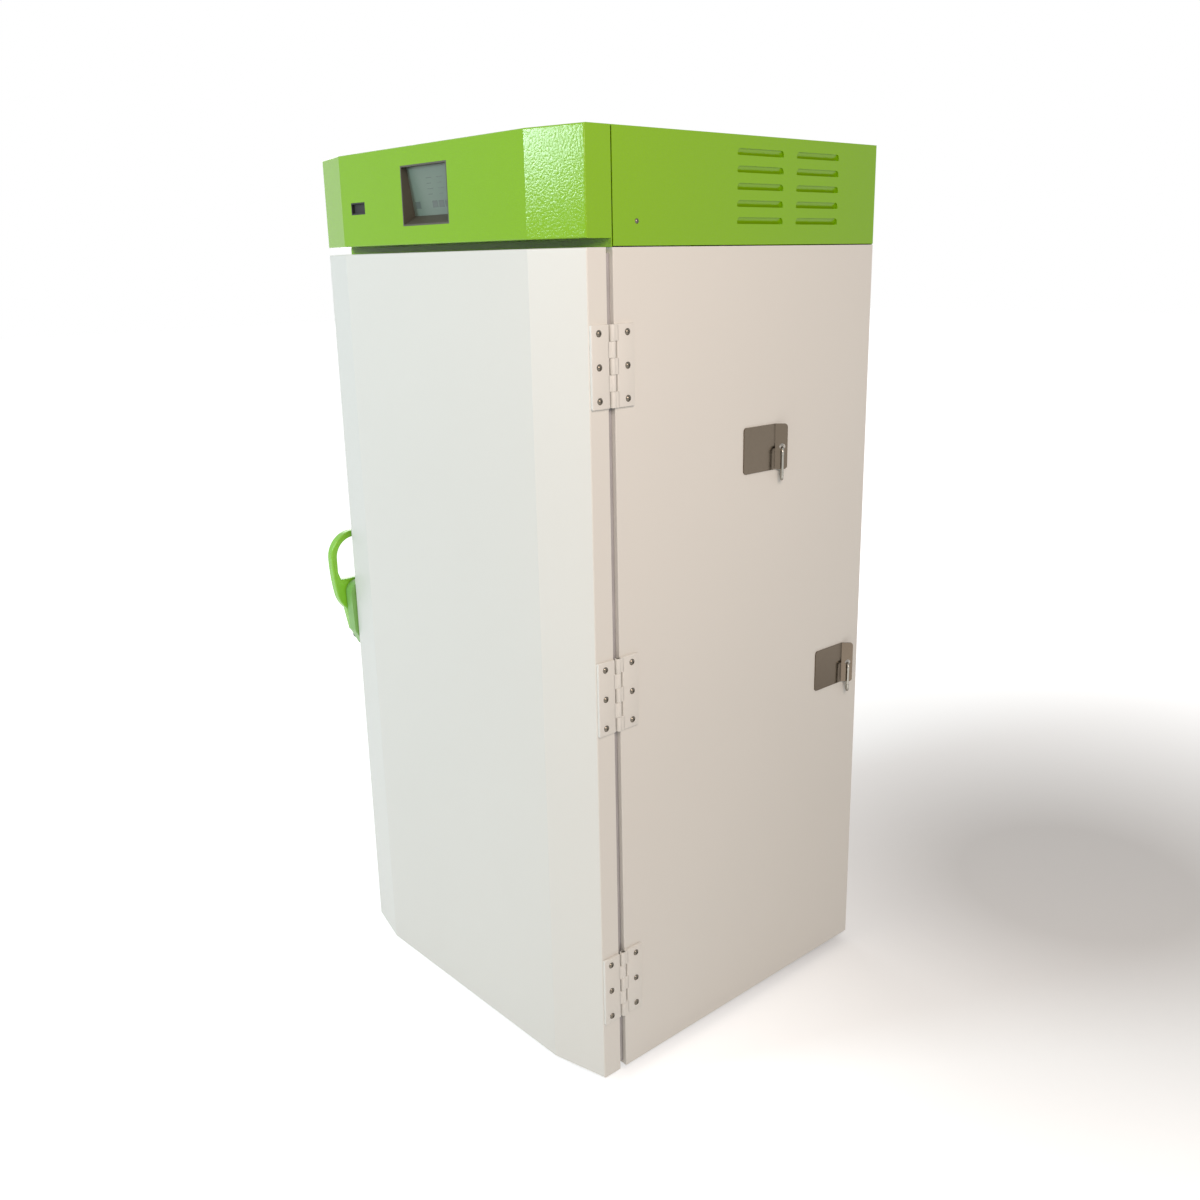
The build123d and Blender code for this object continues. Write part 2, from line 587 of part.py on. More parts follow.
parts["latch_pin"] = (rod(pin_at, "-X", LATCH_PIN_R, pin_l)
                      + rod((out(pin_l - LATCH_PIN_HEAD_T), PIVOT_Y, PIVOT_Z), "-X",
                            LATCH_PIN_HEAD_R, LATCH_PIN_HEAD_T))

loop_y = LOOP_R - LOOP_FRONT
loop_z = LOOP_TOP - LOOP_R
turn_z = LOOP_TOP - LOOP_BACK_R


def arch(rise, inset, low):
    """Outline of the loop: up the front by rise, over the top, down the back. Returns joined edges."""
    r1, r2 = LOOP_R - inset, LOOP_BACK_R - inset
    c1, c2 = at_pivot(loop_y, loop_z), at_pivot(loop_y, turn_z)
    over = CenterArc(c1, r1, 180, -90)
    down = CenterArc(c2, r2, 90, -90)
    return [rise, over, down, Line((c2[0] + r2, c2[1]), (c2[0] + r2, low))]


def on_tail(y):
    """A point on the tail's round end, which keeps one distance from the pivot."""
    return at_pivot(y, -math.sqrt(TAIL_REACH ** 2 - y ** 2))


belly = at_pivot(-BELLY_FRONT, -BELLY_DROP)
notch = at_pivot(-NOTCH_FRONT, -NOTCH_DROP)
tail_front, tail_low, tail_back = on_tail(-TAIL_FRONT), on_tail(0), on_tail(TAIL_BACK)
hub_back = at_pivot(loop_y + LOOP_BACK_R, 0)
front_line = TangentArc(at_pivot(-LOOP_FRONT, loop_z), belly, tangent=(0, -1))
belly_line = TangentArc(belly, notch, tangent=front_line % 1)
outline = arch(front_line, 0, hub_back[1])
outline += [Line(hub_back, tail_back), ThreePointArc(tail_back, tail_low, tail_front),
            Line(tail_front, notch), belly_line]
window_low = PIVOT_Z + WINDOW_LOW
window_front = PIVOT_Y - LOOP_FRONT + LEVER_BAR
crotch = (window_front + WINDOW_STEP, window_low)
knee = (window_front, window_low + WINDOW_KNEE)
window = arch(Line(knee, (window_front, PIVOT_Z + loop_z)), LEVER_BAR, window_low)
window += [Line((PIVOT_Y + loop_y + LOOP_BACK_R - LEVER_BAR, window_low), crotch), Line(crotch, knee)]
lever_face = make_face(outline) - make_face(window)
lever = side_prism(lever_face, out(LEVER_IN), out(LEVER_OUT))
rims = [e for e in lever.edges() if e.bounding_box().size.X < SHEET / 4]
lever = fillet(rims, LEVER_ROUND)


def hook_outline(grow):
    """Hub and arm of the hook, in (y, z), grown all round by grow."""
    hub = round_at(0, 0, HOOK_HUB_R + grow)
    arm_y = (-grow, HOOK_REACH + grow)
    arm_z = (-HOOK_HALF - grow, HOOK_HALF + grow)
    corners = [at_pivot(arm_y[0], arm_z[0]), at_pivot(arm_y[1], arm_z[0]),
               at_pivot(arm_y[1], arm_z[1]), at_pivot(arm_y[0], arm_z[1])]
    return hub + section(corners)


hook_in, hook_out = out(LEVER_IN), out(LEVER_IN + HOOK_T)
lever -= side_prism(hook_outline(HOOK_SET), hook_in, hook_out)
lever_bore = rod((out(0), PIVOT_Y, PIVOT_Z), "-X", LATCH_PIN_R + RUN_CLEAR, LEVER_OUT)
head_room = rod((out(pin_l - LATCH_PIN_HEAD_T - SHAFT_GAP), PIVOT_Y, PIVOT_Z), "-X",
                LATCH_PIN_HEAD_R + HOOK_SET, LEVER_T)
parts["latch_lever"] = lever - [lever_bore, head_room]
nose_low = -HOOK_HALF - HOOK_FALL + HOOK_LIFT
nose = section([at_pivot(HOOK_REACH - HOOK_NOSE, nose_low), at_pivot(HOOK_REACH, nose_low),
                at_pivot(HOOK_REACH, 0), at_pivot(HOOK_REACH - HOOK_NOSE, 0)])
parts["latch_hook"] = side_prism(hook_outline(0) + nose, hook_in, hook_out) - lever_bore
strike_y, strike_z = at_pivot(HOOK_REACH - HOOK_NOSE - STRIKE_BACK - STRIKE_PIN_R,
                              -HOOK_HALF - HOOK_FALL - STRIKE_PIN_R)
plate_y = (max(strike_y - STRIKE_W / 2, Y_FRONT + SHEET), strike_y + STRIKE_W / 2)
plate = block((out(0), out(STRIKE_T)), plate_y, (strike_z - STRIKE_H / 2, strike_z + STRIKE_H / 2))
parts["latch_strike"] = plate + rod((out(0), strike_y, strike_z), "-X", STRIKE_PIN_R, LEVER_IN + HOOK_T)

# Header covers
cover_z = (Z_COVER, Z_HEAD_TOP)
cover = folded_prism(Y_SEAM, *cover_z)
cover -= plan(chamfered_plan(SHEET, Y_SEAM + SHEET), Z_COVER + SHEET, Z_HEAD_TOP - SHEET)
cover += block((-X, X), (Y_SEAM - SHEET, Y_SEAM), (Z_TOP + HEADER_GAP / 4, Z_COVER + SHEET))
port_z = Z_COVER + PORT_Z


def front_window(x, z, width, height, deep):
    return block((x - width / 2, x + width / 2), (Y_DOOR, Y_DOOR + deep), (z - height / 2, z + height / 2))


cover -= front_window(0, SCREEN_Z, SCREEN_W, SCREEN_H, SHEET)
cover -= front_window(PORT_X, port_z, PORT_W, PORT_H, SHEET)
parts["header_front_cover"] = cover
louvre_z = [Z_HEAD + LOUVRE_LOW + row * LOUVRE_PITCH for row in range(LOUVRE_ROWS)]
louvre_y = [Y_FRONT + start for start in LOUVRE_COLUMNS]


def louvre_window(sign, y, z):
    window_box = block((sign * (X - SHEET), sign * X), (y, y + LOUVRE_L), (z, z + LOUVRE_H))
    return fillet(window_box.edges().filter_by(Axis.X), LOUVRE_H / 3)


def louvre_hood(sign, y, z):
    """A slat pressed inwards from its upper edge, with closed ends and a slit along its foot."""
    top, foot = z + LOUVRE_H, z + LOUVRE_SLIT
    deep = X - LOUVRE_IN
    slat = [(X, top + SHEET / 4), (X - SHEET, top + SHEET / 4), (deep - SHEET, foot), (deep, foot)]
    cheek = [(X - SHEET / 2, top), (X - SHEET, top), (deep - SHEET, foot),
             (deep - SHEET, z), (X - SHEET / 2, z)]
    pieces = []
    for outline_xz, y0, y1 in ((slat, y, y + LOUVRE_L), (cheek, y - SHEET / 2, y + SHEET / 2),
                               (cheek, y + LOUVRE_L - SHEET / 2, y + LOUVRE_L + SHEET / 2)):
        face = section([(sign * px, pz) for px, pz in outline_xz])
        pieces.append(extrude(Plane.XZ.offset(-y1) * face, y1 - y0))
    return pieces


def header_panel(sign):
    panel = block((sign * (X - SHEET), sign * X), (Y_FRONT, Y_BACK), (Z_HEAD, Z_HEAD_TOP))
    places = [(y, z) for y in louvre_y for z in louvre_z]
    panel -= [louvre_window(sign, y, z) for y, z in places]
    for y, z in places:
        panel += louvre_hood(sign, y, z)
    facing = "+X" if sign == RIGHT else "-X"
    return panel - screw_hole(sign * X, Y_FRONT + HEADER_SCREW_Y, Z_HEAD + HEADER_SCREW_Z, facing)


for side_name, sign in SIDES.items():
    parts[f"header_side_{side_name}"] = header_panel(sign)
parts["header_top"] = block(inner_w, (Y_SEAM, Y_BACK - SHEET), (Z_HEAD_TOP - SHEET, Z_HEAD_TOP))
grille = block(inner_w, (Y_BACK - SHEET, Y_BACK), (Z_TOP, Z_HEAD_TOP))
grille_low = Z_TOP + (Z_HEAD_TOP - Z_TOP - (GRILLE_ROWS - 1) * GRILLE_PITCH) / 2
slot_heights = [grille_low + row * GRILLE_PITCH for row in range(GRILLE_ROWS)]
slots = [block((x - GRILLE_SLOT_L / 2, x + GRILLE_SLOT_L / 2), (Y_BACK - SHEET, Y_BACK),
               (z - GRILLE_SLOT_H / 2, z + GRILLE_SLOT_H / 2))
         for z in slot_heights for x in (-GRILLE_SLOT_L * 0.6, GRILLE_SLOT_L * 0.6)]
inlet_z = Z_TOP + INLET_Z
inlet_hole = block((INLET_X - INLET_W / 2, INLET_X + INLET_W / 2), (Y_BACK - SHEET, Y_BACK),
                   (inlet_z - INLET_H / 2, inlet_z + INLET_H / 2))
parts["header_grille"] = grille - slots - inlet_hole

# Screen and port in the header's front
bezel_z = (SCREEN_Z - SCREEN_H / 2, SCREEN_Z + SCREEN_H / 2)
view_z = (bezel_z[0] + BEZEL_T, bezel_z[1] - BEZEL_T)
view_x = SCREEN_W / 2 - BEZEL_T
bezel = front_window(0, SCREEN_Z, SCREEN_W, SCREEN_H, BEZEL_D)
bezel += block((-SCREEN_W / 2 - BEZEL_T, SCREEN_W / 2 + BEZEL_T),
               (Y_DOOR + SHEET, Y_DOOR + SHEET + BEZEL_T), (bezel_z[0] - BEZEL_T, bezel_z[1] + BEZEL_T))
pane_top = (Y_DOOR + SCREEN_DEEP_TOP, view_z[1])
pane_low = (Y_DOOR + SCREEN_DEEP_LOW, view_z[0] + SCREEN_SILL)
pane_back = [(pane_top[0] + SCREEN_T, pane_top[1]), (pane_low[0] + SCREEN_T, pane_low[1])]
well = [(Y_DOOR, view_z[0]), (Y_DOOR, view_z[1])] + pane_back + [pane_low]
pane = [pane_top] + pane_back + [pane_low]
parts["screen_bezel"] = bezel - side_prism(section(well), -view_x, view_x)
parts["display_panel"] = side_prism(section(pane), -view_x, view_x)
port = front_window(PORT_X, port_z, PORT_W, PORT_H, PORT_D)
port += block((PORT_X - PORT_W / 2 - BEZEL_T, PORT_X + PORT_W / 2 + BEZEL_T),
              (Y_DOOR + SHEET, Y_DOOR + SHEET + BEZEL_T),
              (port_z - PORT_H / 2 - BEZEL_T, port_z + PORT_H / 2 + BEZEL_T))
port -= front_window(PORT_X, port_z, PORT_W - 2 * BEZEL_T, PORT_H - 2 * BEZEL_T, PORT_DEEP)
parts["data_port"] = port

# Cooler: a round free-piston machine on two cradles, its cold head joined to the condenser
cooler_z = Z_TOP + COOLER_Z
cooler = rod((0, COOLER_Y, cooler_z), "+Y", COOLER_R, COOLER_L)
cooler = fillet(cooler.edges().filter_by(GeomType.CIRCLE), COOLER_R / 3)
cooler += rod((0, COOLER_END, cooler_z), "+Y", COLD_HEAD_R, CONDENSER_Y - COOLER_END)
for y in (COOLER_Y + COOLER_R / 2, COOLER_END - COOLER_R - CRADLE_W):
    cooler += block((-COOLER_R, COOLER_R), (y, y + CRADLE_W), (Z_TOP, cooler_z))
fins_start = COOLER_END - COOLER_R
for k in range(FINS):
    cooler += rod((0, fins_start + k * FIN_PITCH, cooler_z), "+Y", REJECTOR_R, FIN_T)
parts["cooler"] = cooler
condenser = block((-CONDENSER_W / 2, CONDENSER_W / 2), (CONDENSER_Y, CONDENSER_Y + CONDENSER_D),
                  (cooler_z - CONDENSER_H / 2, cooler_z + CONDENSER_H / 2))
bend_r = TUBE_SPAN / 2
tube_end = cooler_z - CONDENSER_H / 2
legs_low = tube_low + bend_r
left_foot, right_foot = (-bend_r, TUBE_Y, legs_low), (bend_r, TUBE_Y, legs_low)
tube_path = Wire([Edge.make_line((-bend_r, TUBE_Y, tube_end), left_foot),
                  Edge.make_three_point_arc(left_foot, (0, TUBE_Y, tube_low), right_foot),
                  Edge.make_line(right_foot, (bend_r, TUBE_Y, tube_end))])
tube = sweep(Plane((-bend_r, TUBE_Y, tube_end), z_dir=(0, 0, -1)) * Circle(TUBE_R), path=tube_path)
parts["thermosiphon"] = condenser + tube

# Fan behind the left louvres
fan_z = Z_TOP + COOLER_Z
fan_in = FAN_X + FAN_T
fan_frame = block((FAN_X, fan_in), (FAN_Y - FAN_SIZE / 2, FAN_Y + FAN_SIZE / 2),
                  (Z_TOP, fan_z + FAN_SIZE / 2))
fan_frame -= rod((FAN_X, FAN_Y, fan_z), "+X", FAN_R + FAN_TIP, FAN_T)
strut_t = FAN_T / 8
strut_l = FAN_R + FAN_TIP
for half_y, half_z in ((strut_l, strut_t), (strut_t, strut_l)):
    fan_frame += block((fan_in - strut_t, fan_in), (FAN_Y - half_y, FAN_Y + half_y),
                       (fan_z - half_z, fan_z + half_z))
fan_frame += rod((fan_in - strut_t, FAN_Y, fan_z), "+X", FAN_HUB_R, strut_t)
fan_frame += rod((fan_in - strut_t, FAN_Y, fan_z), "-X", FAN_PIN_R, FAN_T * 0.7)
parts["fan_frame"] = fan_frame
rotor_in = fan_in - strut_t - SHAFT_GAP
rotor_w = FAN_T * 0.6
rotor = rod((rotor_in, FAN_Y, fan_z), "-X", FAN_HUB_R, rotor_w)
blade_l = FAN_R - FAN_HUB_R / 2
for k in range(FAN_BLADES):
    blade = Rot(0, 0, 35) * Box(rotor_w * 0.9, FIN_T, blade_l)
    blade = Pos(rotor_in - rotor_w / 2, 0, FAN_R - blade_l / 2) * blade
    rotor += Pos(0, FAN_Y, fan_z) * Rot(360 / FAN_BLADES * k, 0, 0) * blade
tip_ring = rod((rotor_in, FAN_Y, fan_z), "-X", FAN_R, rotor_w)
rotor &= tip_ring
parts["fan_rotor"] = rotor - rod((rotor_in, FAN_Y, fan_z), "-X", FAN_PIN_R + RUN_CLEAR, FAN_T)

# Electronics on the cabinet's top
board_z = Z_TOP + BOARD_RISE
board_x = (BOARD_X - BOARD_L / 2, BOARD_X + BOARD_L / 2)
board_y = (BOARD_Y - BOARD_W / 2, BOARD_Y + BOARD_W / 2)
board = block(board_x, board_y, (board_z, board_z + BOARD_T))
for x in (board_x[0] + BOARD_RISE, board_x[1] - BOARD_RISE):
    for y in (board_y[0] + BOARD_RISE, board_y[1] - BOARD_RISE):
        board += rod((x, y, Z_TOP), "+Z", BOARD_RISE / 3, BOARD_RISE)
chips = ((-0.25, 0.1, 0.2, 0.25, 6.0), (0.15, 0.2, 0.25, 0.2, 4.0), (0.1, -0.25, 0.4, 0.15, 14.0))
for dx, dy, length, width, tall in chips:
    x, y = BOARD_X + dx * BOARD_L, BOARD_Y + dy * BOARD_W
    half_l, half_w = length * BOARD_L / 2, width * BOARD_W / 2
    chip_z = (board_z + BOARD_T, board_z + BOARD_T + tall)
    board += block((x - half_l, x + half_l), (y - half_w, y + half_w), chip_z)
parts["control_board"] = board
parts["power_supply"] = block((SUPPLY_X - SUPPLY_L / 2, SUPPLY_X + SUPPLY_L / 2),
                              (SUPPLY_Y - SUPPLY_W / 2, SUPPLY_Y + SUPPLY_W / 2), (Z_TOP, Z_TOP + SUPPLY_H))
inlet = block((INLET_X - INLET_W / 2, INLET_X + INLET_W / 2), (Y_BACK - INLET_D, Y_BACK),
              (inlet_z - INLET_H / 2, inlet_z + INLET_H / 2))
inlet -= block((INLET_X - INLET_W / 3, INLET_X + INLET_W / 3), (Y_BACK - INLET_D / 2, Y_BACK),
               (inlet_z - INLET_H / 3, inlet_z + INLET_H / 3))
for dx in (-1, 0, 1):
    pin_x = INLET_X + dx * INLET_W / 5
    inlet += block((pin_x - INLET_PIN_T / 2, pin_x + INLET_PIN_T / 2),
                   (Y_BACK - INLET_D / 2, Y_BACK - INLET_D / 8),
                   (inlet_z - INLET_PIN_H / 2, inlet_z + INLET_PIN_H / 2))
parts["mains_inlet"] = inlet
access_at = (ACCESS_X, Y_BACK, ACCESS_Z)
parts["access_plug"] = (rod(access_at, "-Y", ACCESS_R - PLUG_CLEAR, SHEET + REAR_WALL + LINER_T)
                        + rod(access_at, "+Y", PLUG_HEAD_R, PLUG_HEAD_T))


# Stainless brackets on the right side, each with a snap hook
def bracket_origin(name):
    start, low = BRACKETS[name]
    return Y_FRONT + start, Z_LOW + low


def leaned(name, shape):
    """A shape drawn for a tongue square to the side, turned back about the bracket's bend."""
    bend = bracket_origin(name)[0] + BRACKET_W
    return Pos(X, bend, 0) * Rot(0, 0, TONGUE_LEAN) * Pos(-X, -bend, 0) * shape


def side_bracket(name):
    y, z = bracket_origin(name)
    bend = y + BRACKET_W
    height = (z, z + BRACKET_H)
    plate = block((X, X + BRACKET_T), (y, bend), height)
    plate = fillet([e for e in plate.edges().filter_by(Axis.X) if e.center().Y < bend - BRACKET_W / 2],
                   BRACKET_ROUND)
    tongue = block((X, X + TONGUE_L), (bend - BRACKET_T, bend), height)
    tongue = fillet([e for e in tongue.edges().filter_by(Axis.Y) if e.center().X > X + TONGUE_L / 2],
                    BRACKET_ROUND)
    tongue -= rod((X + TONGUE_HOLE, bend - BRACKET_T, z + BRACKET_H / 2), "+Y", TONGUE_HOLE_R, BRACKET_T)
    return plate + leaned(name, tongue)


def clip_frame(name):
    """Centre of the snap hook's upper turn, and the slant of its straight legs."""
    y, z = bracket_origin(name)
    hole_low = z + BRACKET_H / 2 - TONGUE_HOLE_R
    wire_z = hole_low + WIRE_R + CLIP_SEAT
    slant = math.asin((CLIP_LOW_R - CLIP_TOP_R) / CLIP_L)
    return y + BRACKET_W - BRACKET_T / 2, wire_z - CLIP_TOP_R, slant


def clip_legs(name):
    """Ends of the front and back legs, as (y, z) pairs from upper to lower turn."""
    cy, cz, slant = clip_frame(name)
    legs = []
    for sign in (-1, 1):
        dy, dz = sign * math.cos(slant), math.sin(slant)
        legs.append(((cy + CLIP_TOP_R * dy, cz + CLIP_TOP_R * dz),
                     (cy + CLIP_LOW_R * dy, cz - CLIP_L + CLIP_LOW_R * dz)))
    return legs


def along(leg, share):
    (y0, z0), (y1, z1) = leg
    return (X + TONGUE_HOLE, y0 + share * (y1 - y0), z0 + share * (z1 - z0))


def snap_hook(name):
    cy, cz, slant = clip_frame(name)
    front, back = clip_legs(name)
    x = X + TONGUE_HOLE
    top, low = (x, cy, cz + CLIP_TOP_R), (x, cy, cz - CLIP_L - CLIP_LOW_R)
    path = Wire([Edge.make_line(along(front, GATE_START), along(front, 0)),
                 Edge.make_three_point_arc(along(front, 0), top, along(back, 0)),
                 Edge.make_line(along(back, 0), along(back, 1)),
                 Edge.make_three_point_arc(along(back, 1), low, along(front, 1)),
                 Edge.make_line(along(front, 1), along(front, GATE_END))])
    start = Vector(*along(front, GATE_START))
    heading = Vector(*along(front, 0)) - start
    return leaned(name, sweep(Plane(start, z_dir=heading) * Circle(WIRE_R), path=path))


def snap_gate(name):
    front, back = clip_legs(name)
    top, foot = Vector(*along(front, GATE_START)), Vector(*along(front, GATE_END))
    length = (top - foot).length - 2 * GATE_GAP
    heading = (top - foot).normalized()
    return leaned(name, extrude(Plane(foot + heading * GATE_GAP, z_dir=heading) * Circle(GATE_R), length))


for name in BRACKETS:
    parts[f"snap_hook_{name}"] = snap_hook(name)
    parts[f"snap_gate_{name}"] = snap_gate(name)

parts["side_brackets"] = group(side_bracket(name) for name in BRACKETS)

# Casters: the front pair swivels, the rear pair is rigid
FORK_HALF = WHEEL_W / 2 + FORK_GAP
FORK_OUT = FORK_HALF + FORK_T


def fork(x, y, axle_z, crown_z, trail):
    """Two legs and a crown over a wheel whose axle lies trail behind the caster's centre."""
    legs = [block((x + s * FORK_HALF, x + s * FORK_OUT), (y + trail - FORK_W / 2, y + trail + FORK_W / 2),
                  (axle_z - 2 * AXLE_R, crown_z)) for s in (-1, 1)]
    crown = block((x - FORK_OUT, x + FORK_OUT), (y - FORK_W / 2, y + trail + FORK_W / 2),
                  (crown_z, crown_z + FORK_CROWN))
    axle = rod((x - FORK_OUT, y + trail, axle_z), "+X", AXLE_R, 2 * FORK_OUT)
    return legs[0] + legs[1] + crown + axle


def wheel(x, y, z):
    rim = rod((x - WHEEL_W / 2, y, z), "+X", WHEEL_R, WHEEL_W)
    rim = fillet(rim.edges().filter_by(GeomType.CIRCLE), WHEEL_EDGE)
    for s, direction in ((-1, "+X"), (1, "-X")):
        dish = rod((x + s * WHEEL_W / 2, y, z), direction, WHEEL_R * 0.7, WHEEL_EDGE)
        rim -= dish - rod((x + s * WHEEL_W / 2, y, z), direction, WHEEL_R * 0.35, WHEEL_EDGE)
    return rim - rod((x - WHEEL_W / 2, y, z), "+X", AXLE_R + RUN_CLEAR, WHEEL_W)


crown_top = BASE_Z - SOCKET_H - SHAFT_GAP
front_axle_z = WHEEL_R + CASTER_LIFT
rear_forks = []
rear_wheels = []
for side_name, sign in SIDES.items():
    x = sign * CASTER_X
    swivel = fork(x, CASTER_FRONT_Y, front_axle_z, crown_top - FORK_CROWN, CASTER_TRAIL)
    parts[f"front_fork_{side_name}"] = swivel + rod((x, CASTER_FRONT_Y, crown_top), "+Z", KING_R, KING_L)
    parts[f"front_wheel_{side_name}"] = wheel(x, CASTER_FRONT_Y + CASTER_TRAIL, front_axle_z)
    rear_wheels.append(wheel(x, CASTER_BACK_Y, WHEEL_R))
    rear_forks.append(fork(x, CASTER_BACK_Y, WHEEL_R, BASE_Z - FORK_CROWN, 0))
parts["rear_forks"] = group(rear_forks)
parts["rear_wheels"] = group(rear_wheels)

# Levelling feet and the sockets under the base pan
sockets = []
for side_name, sign in SIDES.items():
    x = sign * CASTER_X
    sockets.append(rod((x, CASTER_FRONT_Y, BASE_Z), "-Z", SOCKET_R, SOCKET_H)
                   - rod((x, CASTER_FRONT_Y, BASE_Z), "-Z", KING_R + RUN_CLEAR, SOCKET_H))
    foot_x = sign * FOOT_X
    sockets.append(rod((foot_x, FOOT_Y, BASE_Z), "-Z", FOOT_SOCKET_R, FOOT_SOCKET_H)
                   - rod((foot_x, FOOT_Y, BASE_Z), "-Z", FOOT_STEM_R + RUN_CLEAR, FOOT_SOCKET_H))
    pad = rod((foot_x, FOOT_Y, 0), "+Z", FOOT_R, FOOT_PAD)
    nut = extrude(Pos(foot_x, FOOT_Y, FOOT_PAD) * RegularPolygon(FOOT_NUT_R, 6), FOOT_NUT_H)
    stem = rod((foot_x, FOOT_Y, FOOT_PAD), "+Z", FOOT_STEM_R, FOOT_STEM_TOP - FOOT_PAD)
    parts[f"levelling_foot_{side_name}"] = pad + nut + stem
parts["base_sockets"] = group(sockets)

os.makedirs("parts", exist_ok=True)
for node, shape in parts.items():
    export_step(Pos(MID_X, 0, 0) * shape, f"parts/{node}.step")
print(len(parts), "nodes")
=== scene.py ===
# %% [markdown]
# # An upright laboratory freezer, dressed for a studio picture
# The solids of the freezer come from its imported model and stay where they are. This lesson
# gives them their finishes, remakes the pieces whose edges and folds the eye rests on, and sets
# up floor, lamps and camera. Blender works in metres; MM turns millimetres into metres.

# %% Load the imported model
import bmesh
import bpy
import json
import math
from mathutils import Matrix, Vector


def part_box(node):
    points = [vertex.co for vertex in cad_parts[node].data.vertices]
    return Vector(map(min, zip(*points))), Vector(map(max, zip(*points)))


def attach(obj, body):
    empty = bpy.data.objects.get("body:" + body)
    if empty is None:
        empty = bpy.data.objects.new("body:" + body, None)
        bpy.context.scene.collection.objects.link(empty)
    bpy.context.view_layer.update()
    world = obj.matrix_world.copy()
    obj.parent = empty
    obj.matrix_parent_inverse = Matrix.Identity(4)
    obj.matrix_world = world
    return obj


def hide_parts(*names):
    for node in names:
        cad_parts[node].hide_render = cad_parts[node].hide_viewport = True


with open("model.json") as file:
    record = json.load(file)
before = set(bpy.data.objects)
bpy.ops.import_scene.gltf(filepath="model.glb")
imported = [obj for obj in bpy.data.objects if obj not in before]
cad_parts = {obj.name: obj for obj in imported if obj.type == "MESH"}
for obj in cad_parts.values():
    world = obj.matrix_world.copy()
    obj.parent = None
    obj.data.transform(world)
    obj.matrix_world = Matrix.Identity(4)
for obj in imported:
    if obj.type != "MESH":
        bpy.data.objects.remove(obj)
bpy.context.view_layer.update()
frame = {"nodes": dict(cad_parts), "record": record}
solids = frame["nodes"]
MM = 0.001

# %% [markdown]
# The body is the same left and right of its own middle, which isn't the origin: the latch stands
# further out on one side than the hooks on the other. New pieces are drawn about the body's
# middle, in millimetres, and moved over once. The planes they need could be typed in again, but
# read from the solids they always fit them.

# %% Planes of the body
MIDDLE = (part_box("side_panel_right")[1].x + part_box("side_panel_left")[0].x) / 2


def box_mm(name):
    """Lowest and highest corner of a solid, in millimetres from the body's middle."""
    low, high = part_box(name)
    shift = Vector((MIDDLE, 0, 0))
    return (low - shift) / MM, (high - shift) / MM


panel_low, panel_high = box_mm("side_panel_right")
pin_low, pin_high = box_mm("hinge_pins")
SIDE_X, FRONT_Y = panel_high.x, panel_low.y
HINGE_X, HINGE_Y = (pin_low.x + pin_high.x) / 2, (pin_low.y + pin_high.y) / 2
print("half width:", round(SIDE_X, 2), "cabinet front:", round(FRONT_Y, 2), "hinge:", round(HINGE_X, 2))

# %% [markdown]
# Every new piece ends the same way: its mesh becomes an object at the origin, it rides on a
# body, it takes a finish, and it may stand for a solid. One helper does all of this, and sets
# smooth shading with sharp edges kept where the faces meet at more than a given angle. Its
# finish is the one of its material slot, unless another is named.

# %% Turn a bmesh into a piece
def piece(name, bm, body, slot, stands_for=(), finish=None, sharp=40.0):
    bmesh.ops.translate(bm, vec=(MIDDLE, 0, 0), verts=bm.verts)
    bmesh.ops.recalc_face_normals(bm, faces=bm.faces)
    mesh = bpy.data.meshes.new(name)
    bm.to_mesh(mesh)
    bm.free()
    mesh.polygons.foreach_set("use_smooth", [True] * len(mesh.polygons))
    mesh.set_sharp_from_angle(angle=math.radians(sharp))
    mesh.materials.append(finishes[finish or slot])
    obj = bpy.data.objects.new(name, mesh)
    bpy.context.scene.collection.objects.link(obj)
    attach(obj, body)
    if stands_for:
        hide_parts(*stands_for)
    print(name, len(mesh.polygons), "faces")


# %% [markdown]
# Hinge leaves, moulded slabs and key fields are all boxes with softened edges. A Bevel modifier
# would soften a whole piece alike. Bevelling each cube as it is made lets every block have its
# own radius. On a real product no edge is truly sharp, and the bevel is what catches a thin line
# of light. Pins and knuckles are bars with softened rims, and a screw is an outline spun round.

# %% Blocks, bars and turned shapes
WELD = 0.01               # points closer than this are one point


def soft_block(bm, low, high, edge, segments=3):
    """A box between two corners, with rounded edges."""
    low, high = Vector(low) * MM, Vector(high) * MM
    made = bmesh.ops.create_cube(bm, size=1.0)["verts"]
    bmesh.ops.scale(bm, vec=high - low, verts=made)
    bmesh.ops.translate(bm, vec=(low + high) / 2, verts=made)
    edges = [e for e in bm.edges if e.verts[0] in made]
    bmesh.ops.bevel(bm, geom=edges, offset=edge * MM, segments=segments, profile=0.5,
                    affect="EDGES", material=-1)


def soft_bar(bm, centre, radius, length, edge, segments=32):
    """An upright round bar with softened rims, centred on a point."""
    made = bmesh.ops.create_cone(bm, cap_ends=True, segments=segments, radius1=radius * MM,
                                 radius2=radius * MM, depth=length * MM,
                                 matrix=Matrix.Translation(Vector(centre) * MM))["verts"]
    caps = [f for f in bm.faces if len(f.verts) > 4 and f.verts[0] in made]
    rims = [e for cap in caps for e in cap.edges]
    bmesh.ops.bevel(bm, geom=rims, offset=edge * MM, segments=2, profile=0.5,
                    affect="EDGES", material=-1)


def turned(bm, outline, centre, axis, across, steps=24):
    """Spins an outline of (radius, height) pairs about an axis through a point."""
    axis, across, centre = Vector(axis), Vector(across), Vector(centre) * MM
    verts = [bm.verts.new(centre + across * r * MM + axis * h * MM) for r, h in outline]
    edges = [bm.edges.new(pair) for pair in zip(verts, verts[1:])]
    bmesh.ops.spin(bm, geom=verts + edges, cent=centre, axis=axis, angle=math.tau,
                   steps=steps, use_merge=True, use_duplicate=False)
    bmesh.ops.remove_doubles(bm, verts=bm.verts, dist=WELD * MM)


